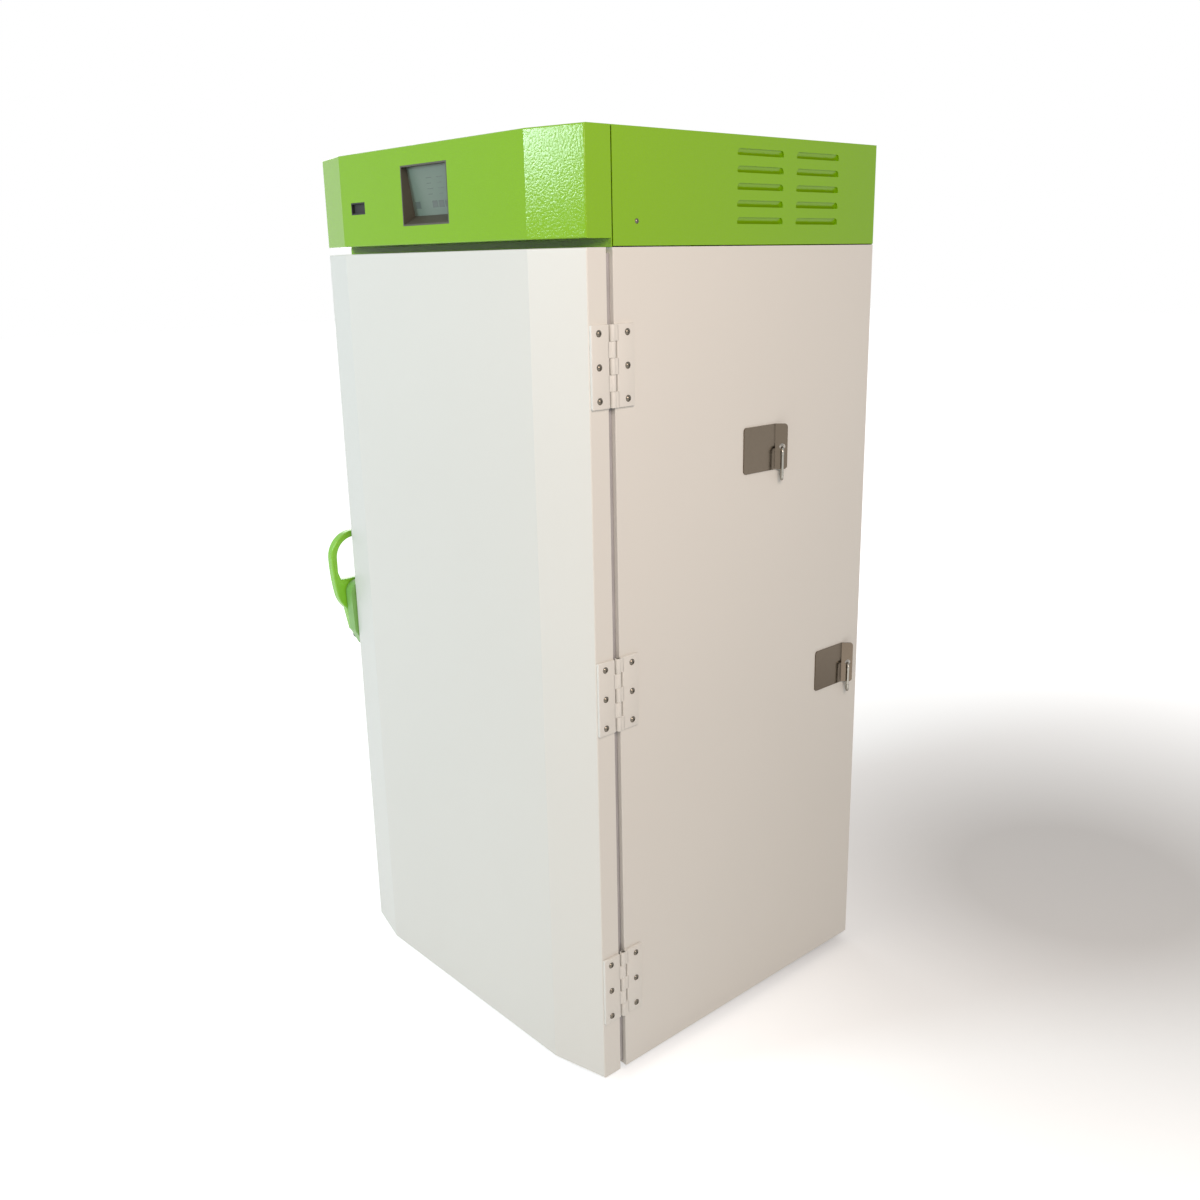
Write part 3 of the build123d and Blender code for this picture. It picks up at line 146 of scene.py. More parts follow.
# %% [markdown]
# ## Finishes
# Each kind of surface on the freezer is a skin: a node group that takes a colour and a few
# values and puts out colour, roughness and height. The nodes could be laid anew in every
# material, but in a group they are built once, and all paints, metals or plastics share them.

# %% Helpers for node groups
SKIN_INPUTS = [("Colour", "NodeSocketColor", (0.8, 0.8, 0.8, 1.0)),
               ("Grain", "NodeSocketFloat", 300.0),
               ("Smoothest", "NodeSocketFloat", 0.3),
               ("Roughest", "NodeSocketFloat", 0.45),
               ("Darkest", "NodeSocketFloat", 0.97)]
SKIN_OUTPUTS = [("Colour", "NodeSocketColor"),
                ("Roughness", "NodeSocketFloat"),
                ("Height", "NodeSocketFloat")]
NOISE_LOW, NOISE_HIGH = 0.3, 0.7      # most of a noise texture lies between these


def skin_group(name):
    tree = bpy.data.node_groups.new(name, "ShaderNodeTree")
    for label, kind, value in SKIN_INPUTS:
        tree.interface.new_socket(label, in_out="INPUT", socket_type=kind).default_value = value
    for label, kind in SKIN_OUTPUTS:
        tree.interface.new_socket(label, in_out="OUTPUT", socket_type=kind)
    return tree, tree.nodes.new("NodeGroupInput"), tree.nodes.new("NodeGroupOutput")


def node(tree, kind, **values):
    made = tree.nodes.new(kind)
    for label, value in values.items():
        made.inputs[label.replace("_", " ")].default_value = value
    return made


def spread(tree, source, low, high):
    """Maps a noise value to the range between two values, either of which may be a socket."""
    made = node(tree, "ShaderNodeMapRange", From_Min=NOISE_LOW, From_Max=NOISE_HIGH)
    tree.links.new(source, made.inputs["Value"])
    for label, value in (("To Min", low), ("To Max", high)):
        if isinstance(value, float):
            made.inputs[label].default_value = value
        else:
            tree.links.new(value, made.inputs[label])
    return made.outputs["Result"]


def shade(tree, colour, amount):
    """Darkens a colour by a value that changes over the surface."""
    made = node(tree, "ShaderNodeHueSaturation")
    tree.links.new(colour, made.inputs["Color"])
    tree.links.new(amount, made.inputs["Value"])
    return made.outputs["Color"]


# %% [markdown]
# Powder coat is sprayed as dust and baked, and it dries with a fine "orange peel" skin. Two
# noise textures make it: a fine one for the skin, a wide one for faint shifts in shade. White
# and green paint differ only in their values.

# %% A node group for painted sheet
def painted_skin():
    tree, source, sink = skin_group("painted_skin")
    place = node(tree, "ShaderNodeTexCoord")
    peel = node(tree, "ShaderNodeTexNoise", Detail=2.0, Roughness=0.45)
    tree.links.new(place.outputs["Object"], peel.inputs["Vector"])
    tree.links.new(source.outputs["Grain"], peel.inputs["Scale"])
    clouds = node(tree, "ShaderNodeTexNoise", Scale=2.2, Detail=3.0, Roughness=0.5)
    tree.links.new(place.outputs["Object"], clouds.inputs["Vector"])
    dim = spread(tree, clouds.outputs["Fac"], source.outputs["Darkest"], 1.0)
    tree.links.new(shade(tree, source.outputs["Colour"], dim), sink.inputs["Colour"])
    rough = spread(tree, peel.outputs["Fac"], source.outputs["Smoothest"], source.outputs["Roughest"])
    tree.links.new(rough, sink.inputs["Roughness"])
    tree.links.new(peel.outputs["Fac"], sink.inputs["Height"])
    return tree


PAINTED = painted_skin()
print("skin:", PAINTED.name)

# %% [markdown]
# Brushed stainless has long scratches in one direction. Stretching a noise texture with a
# Mapping node makes them: slow along the brushing, fast across it. Moulded plastic and rubber
# have a fine even grain, which a cell texture gives, and a little dust, which a noise gives:
# where it lies, the surface is darker and rougher.

# %% Node groups for brushed metal and moulded plastic
def brushed_skin():
    tree, source, sink = skin_group("brushed_skin")
    place = node(tree, "ShaderNodeTexCoord")
    stretch = node(tree, "ShaderNodeMapping", Scale=(6.0, 6.0, 1.0))
    tree.links.new(place.outputs["Object"], stretch.inputs["Vector"])
    lines = node(tree, "ShaderNodeTexNoise", Detail=4.0, Roughness=0.6)
    tree.links.new(stretch.outputs["Vector"], lines.inputs["Vector"])
    tree.links.new(source.outputs["Grain"], lines.inputs["Scale"])
    smears = node(tree, "ShaderNodeTexNoise", Scale=9.0, Detail=3.0)
    tree.links.new(place.outputs["Object"], smears.inputs["Vector"])
    dim = spread(tree, lines.outputs["Fac"], source.outputs["Darkest"], 1.0)
    tree.links.new(shade(tree, source.outputs["Colour"], dim), sink.inputs["Colour"])
    rough = spread(tree, smears.outputs["Fac"], source.outputs["Smoothest"], source.outputs["Roughest"])
    tree.links.new(rough, sink.inputs["Roughness"])
    tree.links.new(lines.outputs["Fac"], sink.inputs["Height"])
    return tree


def moulded_skin():
    tree, source, sink = skin_group("moulded_skin")
    place = node(tree, "ShaderNodeTexCoord")
    cells = node(tree, "ShaderNodeTexVoronoi", Randomness=1.0)
    tree.links.new(place.outputs["Object"], cells.inputs["Vector"])
    tree.links.new(source.outputs["Grain"], cells.inputs["Scale"])
    dust = node(tree, "ShaderNodeTexNoise", Scale=14.0, Detail=4.0, Roughness=0.6)
    tree.links.new(place.outputs["Object"], dust.inputs["Vector"])
    dim = spread(tree, dust.outputs["Fac"], source.outputs["Darkest"], 1.0)
    tree.links.new(shade(tree, source.outputs["Colour"], dim), sink.inputs["Colour"])
    rough = spread(tree, dust.outputs["Fac"], source.outputs["Roughest"], source.outputs["Smoothest"])
    tree.links.new(rough, sink.inputs["Roughness"])
    tree.links.new(cells.outputs["Distance"], sink.inputs["Height"])
    return tree


BRUSHED, MOULDED = brushed_skin(), moulded_skin()
print("skins:", BRUSHED.name, MOULDED.name)

# %% [markdown]
# A finish is one of these skins with its own colour and scale, joined to a Principled shader.
# Colours are given as they look on a screen and turned into the linear values that Blender
# works in. Values that are the same all over are set on the shader itself.

# %% Join a skin to a shader
def on_screen(red, green, blue):
    def linear(v):
        v /= 255
        return v / 12.92 if v <= 0.04045 else ((v + 0.055) / 1.055) ** 2.4
    return (linear(red), linear(green), linear(blue), 1.0)


def surface(name, skin, colour, grain, smooth, rough, darkest, bump, depth, **shader):
    material = bpy.data.materials.new(name)
    material.use_nodes = True
    tree = material.node_tree
    principled = tree.nodes["Principled BSDF"]
    look = tree.nodes.new("ShaderNodeGroup")
    look.node_tree = skin
    look.inputs["Colour"].default_value = on_screen(*colour)
    look.inputs["Grain"].default_value = grain
    look.inputs["Smoothest"].default_value = smooth
    look.inputs["Roughest"].default_value = rough
    look.inputs["Darkest"].default_value = darkest
    relief = node(tree, "ShaderNodeBump", Strength=bump, Distance=depth * MM)
    tree.links.new(look.outputs["Colour"], principled.inputs["Base Color"])
    tree.links.new(look.outputs["Roughness"], principled.inputs["Roughness"])
    tree.links.new(look.outputs["Height"], relief.inputs["Height"])
    tree.links.new(relief.outputs["Normal"], principled.inputs["Normal"])
    for label, value in shader.items():
        principled.inputs[label.replace("_", " ")].default_value = value
    return material


# %% [markdown]
# Paint, plastic and rubber are told apart by gloss and grain more than by colour. The header's
# green coat is glossier than the white one and its peel is deeper, so its highlight breaks into
# specks. Brackets and screws are of a duller steel than the hooks, and darker: their colour is
# painted dark reflection. Each finish could be a block of code; as values side by side they are
# easier to compare and to tune.

# %% Values of the finishes
LOOKS = {
    "white_powder_coat": dict(
        skin=PAINTED, colour=(231, 229, 223), grain=200, smooth=0.36, rough=0.46, darkest=0.985,
        bump=0.04, depth=0.3, Specular_IOR_Level=0.3),
    "green_powder_coat": dict(
        skin=PAINTED, colour=(136, 190, 14), grain=240, smooth=0.10, rough=0.20, darkest=0.98,
        bump=0.38, depth=0.8, Specular_IOR_Level=0.35),
    "green_handle": dict(
        skin=MOULDED, colour=(136, 205, 50), grain=900, smooth=0.22, rough=0.34, darkest=0.93,
        bump=0.05, depth=0.1, Coat_Weight=0.2, Coat_Roughness=0.15),
    "pale_green_plastic": dict(
        skin=MOULDED, colour=(128, 182, 92), grain=900, smooth=0.3, rough=0.42, darkest=0.93,
        bump=0.05, depth=0.1),
    "foam": dict(
        skin=MOULDED, colour=(222, 206, 160), grain=260, smooth=0.85, rough=0.95, darkest=0.88,
        bump=0.4, depth=0.5),
    "stainless_steel": dict(
        skin=BRUSHED, colour=(188, 186, 182), grain=260, smooth=0.27, rough=0.34, darkest=0.93,
        bump=0.01, depth=0.05, Metallic=1.0),
    "white_plastic": dict(
        skin=MOULDED, colour=(236, 236, 232), grain=700, smooth=0.38, rough=0.5, darkest=0.96,
        bump=0.02, depth=0.05),
    "grey_rubber": dict(
        skin=MOULDED, colour=(178, 175, 176), grain=800, smooth=0.6, rough=0.75, darkest=0.88,
        bump=0.1, depth=0.15),
    "bright_steel": dict(
        skin=BRUSHED, colour=(168, 165, 156), grain=500, smooth=0.08, rough=0.18, darkest=0.85,
        bump=0.02, depth=0.05, Metallic=1.0),
    "zinc_steel": dict(
        skin=BRUSHED, colour=(172, 174, 176), grain=200, smooth=0.3, rough=0.5, darkest=0.82,
        bump=0.08, depth=0.1, Metallic=1.0),
    "black_plastic": dict(
        skin=MOULDED, colour=(14, 14, 14), grain=900, smooth=0.6, rough=0.72, darkest=0.85,
        bump=0.1, depth=0.15),
    "dark_grey_plastic": dict(
        skin=MOULDED, colour=(74, 70, 58), grain=900, smooth=0.42, rough=0.56, darkest=0.9,
        bump=0.08, depth=0.15),
    "screen_glass": dict(
        skin=MOULDED, colour=(112, 130, 118), grain=1400, smooth=0.3, rough=0.4, darkest=0.96,
        bump=0.01, depth=0.02),
    "copper_aluminium": dict(
        skin=BRUSHED, colour=(196, 168, 140), grain=220, smooth=0.3, rough=0.45, darkest=0.85,
        bump=0.08, depth=0.1, Metallic=1.0),
    "circuit_board": dict(
        skin=MOULDED, colour=(28, 96, 52), grain=600, smooth=0.35, rough=0.5, darkest=0.8,
        bump=0.1, depth=0.1),
    "grey_wheel_rubber": dict(
        skin=MOULDED, colour=(70, 70, 72), grain=500, smooth=0.6, rough=0.8, darkest=0.8,
        bump=0.15, depth=0.2),
    "liquid_crystal_marks": dict(
        skin=MOULDED, colour=(98, 110, 105), grain=1400, smooth=0.2, rough=0.3, darkest=0.95,
        bump=0.02, depth=0.05),
    # A darker steel for the brackets: its colour is painted dark reflection
    "bracket_painted_dark_reflection": dict(
        skin=BRUSHED, colour=(116, 105, 92), grain=260, smooth=0.12, rough=0.26, darkest=0.8,
        bump=0.04, depth=0.1, Metallic=1.0),
    # A darker copy of the screws' bright steel: its colour is painted dark reflection
    "screw_painted_dark_reflection": dict(
        skin=BRUSHED, colour=(112, 106, 96), grain=500, smooth=0.16, rough=0.24, darkest=0.9,
        bump=0.02, depth=0.05, Metallic=1.0),
}

# %% Make the finishes and put them on the solids
finishes = {name: surface(name, **look) for name, look in LOOKS.items()}
for part in frame["record"]["subparts"]:
    solid = solids[part["node"]]
    solid.data.materials.clear()
    solid.data.materials.append(finishes[part["material_slot"]])
# The brackets get their own darker steel, whose colour is painted dark reflection
solids["side_brackets"].data.materials[0] = finishes["bracket_painted_dark_reflection"]
print("finishes:", len(finishes))

# %% [markdown]
# ## Louvred header sides
# Each side of the header is one sheet with ten louvres pressed into it: shallow along the top,
# sinking to a dark slit along the foot, with round upper corners. A bump map would only look
# right from the front, so the louvres are real. Cutting a flat sheet into cells gives a face for
# each louvre. Its corners are rounded, it is pushed in on a slope, and the faces along its foot
# are taken out for the air. Solidify then gives the sheet its wall, whose rims catch the light.

# %% Louvre sizes
side_low, side_high = box_mm("header_side_right")
LOUVRE_L, LOUVRE_H, LOUVRE_DEEP = 131.0, 12.0, 8.5
LOUVRE_ROWS, LOUVRE_PITCH = 5, 30.5
LOWEST_FOOT = 37.5        # lowest louvre above the sheet's foot
COLUMN_STARTS = (314.0, 484.0)        # columns of louvres behind the cabinet's front
LOUVRE_STEP = 0.3         # share of the depth that lies right under the upper rim
UPPER_ROUND, LOWER_ROUND, ROUND_SEGMENTS = 7.5, 2.0, 6
LARGE_SHARE = 0.7         # a face over this share of a louvre's area is a louvre
SLIT_RISE = 0.2           # faces that stay this close to the foot are the slit
SHEET_T = 1.6
SEAM = 1.2                # shadow gap to the front cover
CUT_NEAR = 0.001          # points this close to a cut lie on it
LOUVRE_FEET = [side_low.z + LOWEST_FOOT + k * LOUVRE_PITCH for k in range(LOUVRE_ROWS)]
LOUVRE_STARTS = [FRONT_Y + start for start in COLUMN_STARTS]
MARGIN = (LOUVRE_PITCH - LOUVRE_H) / 2
print("louvres on each side:", len(LOUVRE_FEET) * len(LOUVRE_STARTS))


# %% A sheet cut into cells
def flat_sheet(bm, x, low, high):
    """A single face on the plane at x, facing away from the middle."""
    bmesh.ops.create_grid(bm, x_segments=1, y_segments=1, size=0.5)
    facing = Matrix.Rotation(math.radians(90 if x > 0 else -90), 4, "Y")
    size = Matrix.Diagonal((1.0, high.y - low.y, high.z - low.z, 1.0))
    centre = Matrix.Translation(Vector((x, (low.y + high.y) / 2, (low.z + high.z) / 2)) * MM)
    bmesh.ops.transform(bm, matrix=centre @ Matrix.Scale(MM, 4) @ size @ facing, verts=bm.verts)


def cut_along(bm, normal, value):
    geom = bm.verts[:] + bm.edges[:] + bm.faces[:]
    bmesh.ops.bisect_plane(bm, geom=geom, dist=CUT_NEAR * MM, plane_no=normal,
                           plane_co=Vector(normal) * value * MM)


def cut_cells(bm):
    for start in LOUVRE_STARTS:
        cut_along(bm, (0, 1, 0), start - MARGIN)
        cut_along(bm, (0, 1, 0), start + LOUVRE_L + MARGIN)
    for foot in LOUVRE_FEET:
        cut_along(bm, (0, 0, 1), foot - MARGIN)
    cut_along(bm, (0, 0, 1), LOUVRE_FEET[-1] + LOUVRE_H + MARGIN)


def louvre_faces(bm, x):
    """The large faces that lie at the middles of the louvres."""
    middles = [Vector((x, start + LOUVRE_L / 2, foot + LOUVRE_H / 2)) * MM
               for start in LOUVRE_STARTS for foot in LOUVRE_FEET]
    large = [f for f in bm.faces if f.calc_area() > LARGE_SHARE * LOUVRE_L * LOUVRE_H * MM ** 2]
    return [f for f in large if min((f.calc_center_bounds() - m).length for m in middles) < MM]


# %% Press the louvres
def round_corners(bm, x, edge, radius):
    """edge is max for the upper corners of every louvre and min for the lower ones."""
    corners = []
    for cell in louvre_faces(bm, x):
        level = edge(v.co.z for v in cell.verts)
        corners += [v for v in cell.verts if abs(v.co.z - level) < WELD * MM]
    bmesh.ops.bevel(bm, geom=corners, offset=radius * MM, segments=ROUND_SEGMENTS, profile=0.5,
                    affect="VERTICES", material=-1)


def press_in(bm, cell, sign):
    """Pushes one louvre inwards, deepest along its foot, and opens the foot."""
    top, foot = max(v.co.z for v in cell.verts), min(v.co.z for v in cell.verts)
    flap = bmesh.ops.extrude_discrete_faces(bm, faces=[cell])["faces"][0]
    for v in flap.verts:
        share = LOUVRE_STEP + (1 - LOUVRE_STEP) * (top - v.co.z) / (top - foot)
        v.co.x -= sign * LOUVRE_DEEP * MM * share
    walls = {f for v in flap.verts for f in v.link_faces}
    slit = [f for f in walls if all(v.co.z < foot + SLIT_RISE * MM for v in f.verts)]
    bmesh.ops.delete(bm, geom=slit, context="FACES")


def louvred_side(sign, stands_for):
    """sign is +1 for the right side of the header and -1 for the left."""
    x = sign * SIDE_X
    bm = bmesh.new()
    flat_sheet(bm, x, side_low + Vector((0, SEAM, 0)), side_high)
    cut_cells(bm)
    bmesh.ops.inset_individual(bm, faces=louvre_faces(bm, x), thickness=MARGIN * MM, use_even_offset=True)
    round_corners(bm, x, max, UPPER_ROUND)
    round_corners(bm, x, min, LOWER_ROUND)
    for cell in louvre_faces(bm, x):
        press_in(bm, cell, sign)
    bmesh.ops.recalc_face_normals(bm, faces=bm.faces)
    outwards = max(bm.faces, key=lambda f: f.calc_area()).normal.x * sign > 0
    bmesh.ops.solidify(bm, geom=bm.faces[:], thickness=(SHEET_T if outwards else -SHEET_T) * MM)
    piece(stands_for + "_louvred", bm, "cabinet", "green_powder_coat", [stands_for])


louvred_side(+1, "header_side_right")
louvred_side(-1, "header_side_left")

# %% [markdown]
# ## Hinges
# Three butt hinges carry the door. A leaf is a painted plate with knuckles rolled round the pin:
# the cabinet's leaf has the first, third and fifth, the door's the second and fourth. A Boolean
# could weld plate and knuckles into one skin, but it would spoil their rounded edges. So plates
# and webs are soft blocks and knuckles are soft bars, which reach into each other a little.

# %% Hinge leaves
HINGE_H, KNUCKLES, BARREL_R = 145.0, 5, 6.0
LEAF_T, LEAF_W, LEAF_EDGE = 6.5, 50.0, 1.6
KNUCKLE_GAP, KNUCKLE_EDGE = 0.2, 0.6  # free end of a knuckle, and its rounded rim
WEB_LAP, WEB_EDGE = 2.5, 0.3          # the web from knuckle to leaf, into the leaf
HINGE_SLOT = 3.5          # between a knuckle and the other leaf
HINGE_HEIGHTS = (200.0, 822.5, 1433.5)
HINGE_CENTRES = [panel_low.z + height for height in HINGE_HEIGHTS]


def hinge_leaves(side, name, body, stands_for):
    """side is +1 for the cabinet's leaves and -1 for the door's."""
    bm = bmesh.new()
    outer = SIDE_X + LEAF_T
    near, far = HINGE_Y + side * (BARREL_R + HINGE_SLOT), HINGE_Y + side * LEAF_W
    web = near + side * WEB_LAP
    knuckle = HINGE_H / KNUCKLES
    for centre in HINGE_CENTRES:
        low = centre - HINGE_H / 2
        soft_block(bm, (SIDE_X, min(near, far), low), (outer, max(near, far), low + HINGE_H), LEAF_EDGE)
        for k in range(0 if side > 0 else 1, KNUCKLES, 2):
            z0, z1 = low + k * knuckle + KNUCKLE_GAP, low + (k + 1) * knuckle - KNUCKLE_GAP
            soft_bar(bm, (HINGE_X, HINGE_Y, (z0 + z1) / 2), BARREL_R, z1 - z0, KNUCKLE_EDGE)
            soft_block(bm, (SIDE_X, min(HINGE_Y, web), z0), (outer, max(HINGE_Y, web), z1), WEB_EDGE,
                       segments=1)
    piece(name, bm, body, "white_powder_coat", stands_for)


hinge_leaves(+1, "cabinet_hinge_plates", "cabinet", ["hinge_cabinet_leaves"])
hinge_leaves(-1, "door_hinge_plates", "door", ["hinge_door_leaves"])

# %% [markdown]
# The leaves are held by button-head screws: a low dome with a socket in its middle. A flattened
# sphere would have no socket and no rim. The outline of half a screw, spun once round, gives the
# socket, the dome and the shank in one go. The header's screws are smaller.

# %% Screws
HEAD_R, HEAD_H, RIM_H = 6.2, 4.0, 0.5
DOME_RADII = (2.5, 3.2, 4.0, 4.8, 5.6)
SOCKET_R, SOCKET_FLOOR, MOUTH_R, MOUTH_H = 2.1, 2.0, 2.2, 3.2
SHANK_R, SHANK_L = 3.0, 12.0
HINGE_SCREW_OUT, HINGE_SCREW_STEP = 33.5, 58.0        # from the pin, and from screw to screw
HEADER_SCREW_BACK, HEADER_SCREW_UP, HEADER_SCREW_SIZE = 57.0, 41.0, 0.72


def head_outline(size):
    """From the socket's middle over the dome to the shank's end; size scales all but its length."""
    dome_r = (HEAD_R ** 2 + HEAD_H ** 2) / (2 * HEAD_H)
    socket = [(0, SOCKET_FLOOR), (SOCKET_R, SOCKET_FLOOR), (MOUTH_R, MOUTH_H)]
    dome = [(r, HEAD_H - dome_r + math.sqrt(dome_r ** 2 - r ** 2)) for r in DOME_RADII]
    rim = [(HEAD_R, RIM_H), (HEAD_R, 0.0)]
    shank = [(SHANK_R, 0.0), (SHANK_R, -SHANK_L), (0, -SHANK_L)]
    return [(r * size, h if h < 0 else h * size) for r, h in socket + dome + rim + shank]


def screws(places, name, body, stands_for):
    bm = bmesh.new()
    for x, y, z, size in places:
        turned(bm, head_outline(size), (x, y, z), (math.copysign(1, x), 0, 0), (0, 1, 0))
    # The screws take their own darker steel, whose colour is painted dark reflection
    piece(name, bm, body, "bright_steel", stands_for, finish="screw_painted_dark_reflection", sharp=50.0)


def hinge_screw_places(side):
    return [(SIDE_X + LEAF_T, HINGE_Y + side * HINGE_SCREW_OUT, centre + k * HINGE_SCREW_STEP, 1.0)
            for centre in HINGE_CENTRES for k in (-1, 0, 1)]


header_screw_places = [(x, FRONT_Y + HEADER_SCREW_BACK, side_low.z + HEADER_SCREW_UP, HEADER_SCREW_SIZE)
                       for x in (SIDE_X, -SIDE_X)]
screws(hinge_screw_places(+1) + header_screw_places, "cabinet_button_screws", "cabinet",
       ["cabinet_screws"])
screws(hinge_screw_places(-1), "door_button_screws", "door", ["door_screws"])

# %% [markdown]
# ## Gasket
# The door closes on a soft bellows gasket that runs round its back in one mitred ring. It starts
# as a rectangle of four edges. Extruding it from one point of the cross-section to the next draws
# the skin, and the last rectangle is merged with the first. Bridging loose rectangles would also
# close a ring, but where two of them lie in one plane it may join the wrong corners.

# %% Gasket ring
seal_low, seal_high = box_mm("door_gasket")
SEAL_W = 22.0
# One half of the cross-section: in from the gasket's edge, and out from the door's back
HALF_BELLOWS = [(0, 0), (0, 3.6), (1.6, 4.6), (3.6, 7.4), (1.8, 10.2), (0.8, 11.4), (0.8, 15.0),
                (1.6, 15.7)]
BELLOWS = HALF_BELLOWS + [(SEAL_W - edge_in, out) for edge_in, out in reversed(HALF_BELLOWS)]


def lay_ring(verts, edge_in, out):
    """Puts the four corners of a ring where one point of the cross-section belongs."""
    half = (seal_high - seal_low) / 2
    for v in verts:
        across = math.copysign(half.x - edge_in, v.co.x) * MM
        upright = math.copysign(half.z - edge_in, v.co.z) * MM
        v.co = (across, (seal_low.y + out) * MM, upright)


def gasket():
    bm = bmesh.new()
    standing = Matrix.Rotation(math.pi / 2, 4, "X")
    bmesh.ops.create_grid(bm, x_segments=1, y_segments=1, size=0.5, matrix=standing)
    bmesh.ops.delete(bm, geom=bm.faces[:], context="FACES_ONLY")
    lay_ring(bm.verts, *BELLOWS[0])
    ring = bm.edges[:]
    for point in BELLOWS[1:] + BELLOWS[:1]:
        made = bmesh.ops.extrude_edge_only(bm, edges=ring)["geom"]
        verts = [v for v in made if isinstance(v, bmesh.types.BMVert)]
        ring = [e for e in bm.edges if e.verts[0] in verts and e.verts[1] in verts]
        lay_ring(verts, *point)
    bmesh.ops.remove_doubles(bm, verts=bm.verts, dist=WELD * MM)
    bmesh.ops.translate(bm, vec=(0, 0, (seal_low.z + seal_high.z) / 2 * MM), verts=bm.verts)
    piece("bellows_gasket", bm, "door", "grey_rubber", ["door_gasket"], sharp=60.0)


gasket()

# %% [markdown]
# ## Screen
# The screen leans in its well, its foot deeper than its head. What it shows is kept plain: a few
# faint lines and a row of key fields. A texture could paint them, but thin soft blocks keep crisp
# edges at any distance. They are made on a flat sheet and then laid on the leaning glass with
# one matrix.

# %% Marks on the screen
glass_low, glass_high = box_mm("display_panel")
GLASS_T = 4.0
GLASS_TOP = Vector((0, glass_low.y, glass_high.z)) * MM
GLASS_FOOT = Vector((0, glass_high.y - GLASS_T, glass_low.z)) * MM
MARK_PROUD, MARK_EDGE = 0.12, 0.05
KEY_STARTS, KEY_W = (-67.0, -8.0, 13.5, 35.0), 18.0
KEY_FOOT, KEY_TOP = 13.5, 26.5
LINE_ROWS, LINE_STEP, LINE_TOP, LINE_H = 4, 10.0, 68.0, 1.2
COLUMNS, COLUMN_START, COLUMN_STEP = 2, -16.0, 36.0
LINE_L, LINE_SHORTER = 20.0, 5.0      # every other line is shorter


def mark_boxes():
    """Left, foot, right and top of every mark on the flat sheet."""
    keys = [(x, KEY_FOOT, x + KEY_W, KEY_TOP) for x in KEY_STARTS]
    lines = []
    for column in range(COLUMNS):
        for row in range(LINE_ROWS):
            x, z = COLUMN_START + COLUMN_STEP * column, LINE_TOP - LINE_STEP * row
            lines.append((x, z, x + LINE_L - LINE_SHORTER * (row % 2), z + LINE_H))
    return keys + lines


def screen_marks():
    bm = bmesh.new()
    for x0, z0, x1, z1 in mark_boxes():
        soft_block(bm, (x0, -MARK_PROUD, z0), (x1, MARK_PROUD, z1), MARK_EDGE, segments=1)
    across = Vector((1, 0, 0))
    up = (GLASS_TOP - GLASS_FOOT).normalized()
    lean = Matrix((across, up.cross(across), up)).transposed().to_4x4()
    bmesh.ops.transform(bm, matrix=Matrix.Translation(GLASS_FOOT) @ lean, verts=bm.verts)
    piece("screen_marks", bm, "cabinet", "screen_glass", finish="liquid_crystal_marks")


screen_marks()

# %% [markdown]
# ## Inner doors and door lining
# Behind the main door, each compartment has its own light inner door: a moulded slab with round
# edges, a shallow panel set into its face and a pull at its free end. Subdivision could round the
# slab, but it would also bulge the flat face. So the slab is a soft block, and its panel is made
# by insetting the face twice: once for a flat rim, once for the slope down to the panel.

# %% Inner doors
INNER_T, SLAB_EDGE = 22.0, 3.5
PULL_D, PULL_W, PULL_H, PULL_EDGE = 8.0, 14.0, 110.0, 3.0
PULL_IN, PULL_LAP = 0.5, 2.0          # from the slab's end, and into its face
PANEL_RIM, PANEL_SLOPE, PANEL_DEEP = 24.0, 4.0, 2.5
SLAB_FACE = 0.05          # square metres; the slab's front is larger, its rounded strips smaller
FACES_FRONT = -0.9        # normals below this along y face the front
INNER_DOORS = 4
INNER_PIN = 8.0           # pivot from the slab's end and from its front
PIN_R, PIN_EDGE = 4.0, 0.5
PIN_REACH, PIN_LAP = 5.6, 0.3         # past the slab, and into it


def sink_panel(bm, faces, rim, slope, deep):
    bmesh.ops.inset_region(bm, faces=faces, thickness=rim * MM, use_even_offset=True)
    bmesh.ops.inset_region(bm, faces=faces, thickness=slope * MM, depth=-deep * MM, use_even_offset=True)


def inner_door(k):
    name = f"inner_door_{k}"
    low, high = box_mm(name)
    front, foot, head = low.y + PULL_D, low.z + PIN_REACH, high.z - PIN_REACH
    middle = (foot + head) / 2
    bm = bmesh.new()
    soft_block(bm, (low.x, front, foot), (high.x, front + INNER_T, head), SLAB_EDGE, segments=4)
    face = [f for f in bm.faces if f.normal.y < FACES_FRONT and f.calc_area() > SLAB_FACE]
    sink_panel(bm, face, PANEL_RIM, PANEL_SLOPE, PANEL_DEEP)
    soft_block(bm, (low.x + PULL_IN, low.y, middle - PULL_H / 2),
               (low.x + PULL_W, front + PULL_LAP, middle + PULL_H / 2), PULL_EDGE, segments=4)
    for z in (foot - PIN_REACH / 2 + PIN_LAP, head + PIN_REACH / 2 - PIN_LAP):
        soft_bar(bm, (high.x - INNER_PIN, front + INNER_PIN, z), PIN_R, PIN_REACH + 2 * PIN_LAP,
                 PIN_EDGE, segments=24)
    piece(f"{name}_moulded", bm, name, "white_plastic", [name])


for k in range(1, INNER_DOORS + 1):
    inner_door(k)

# %% [markdown]
# The main door's back is lined with one moulded sheet whose middle stands proud into the throat.
# Drawing the sheet's step as a profile would need mitred corners. A flat block with a second,
# rounder one on top gives the same step, and the panel in it is sunk as in the inner doors.

# %% Door lining
LINING_RIM, LINING_EDGE = 50.0, 0.4   # flat rim round the proud middle
PROUD_EDGE, PROUD_LAP = 5.0, 1.0      # rounding of the middle, and how far it reaches into the sheet
LINING_PANEL_RIM, LINING_PANEL_SLOPE, LINING_PANEL_DEEP = 30.0, 6.0, 3.0
PROUD_FACE = 0.5          # square metres; only the two large faces are larger


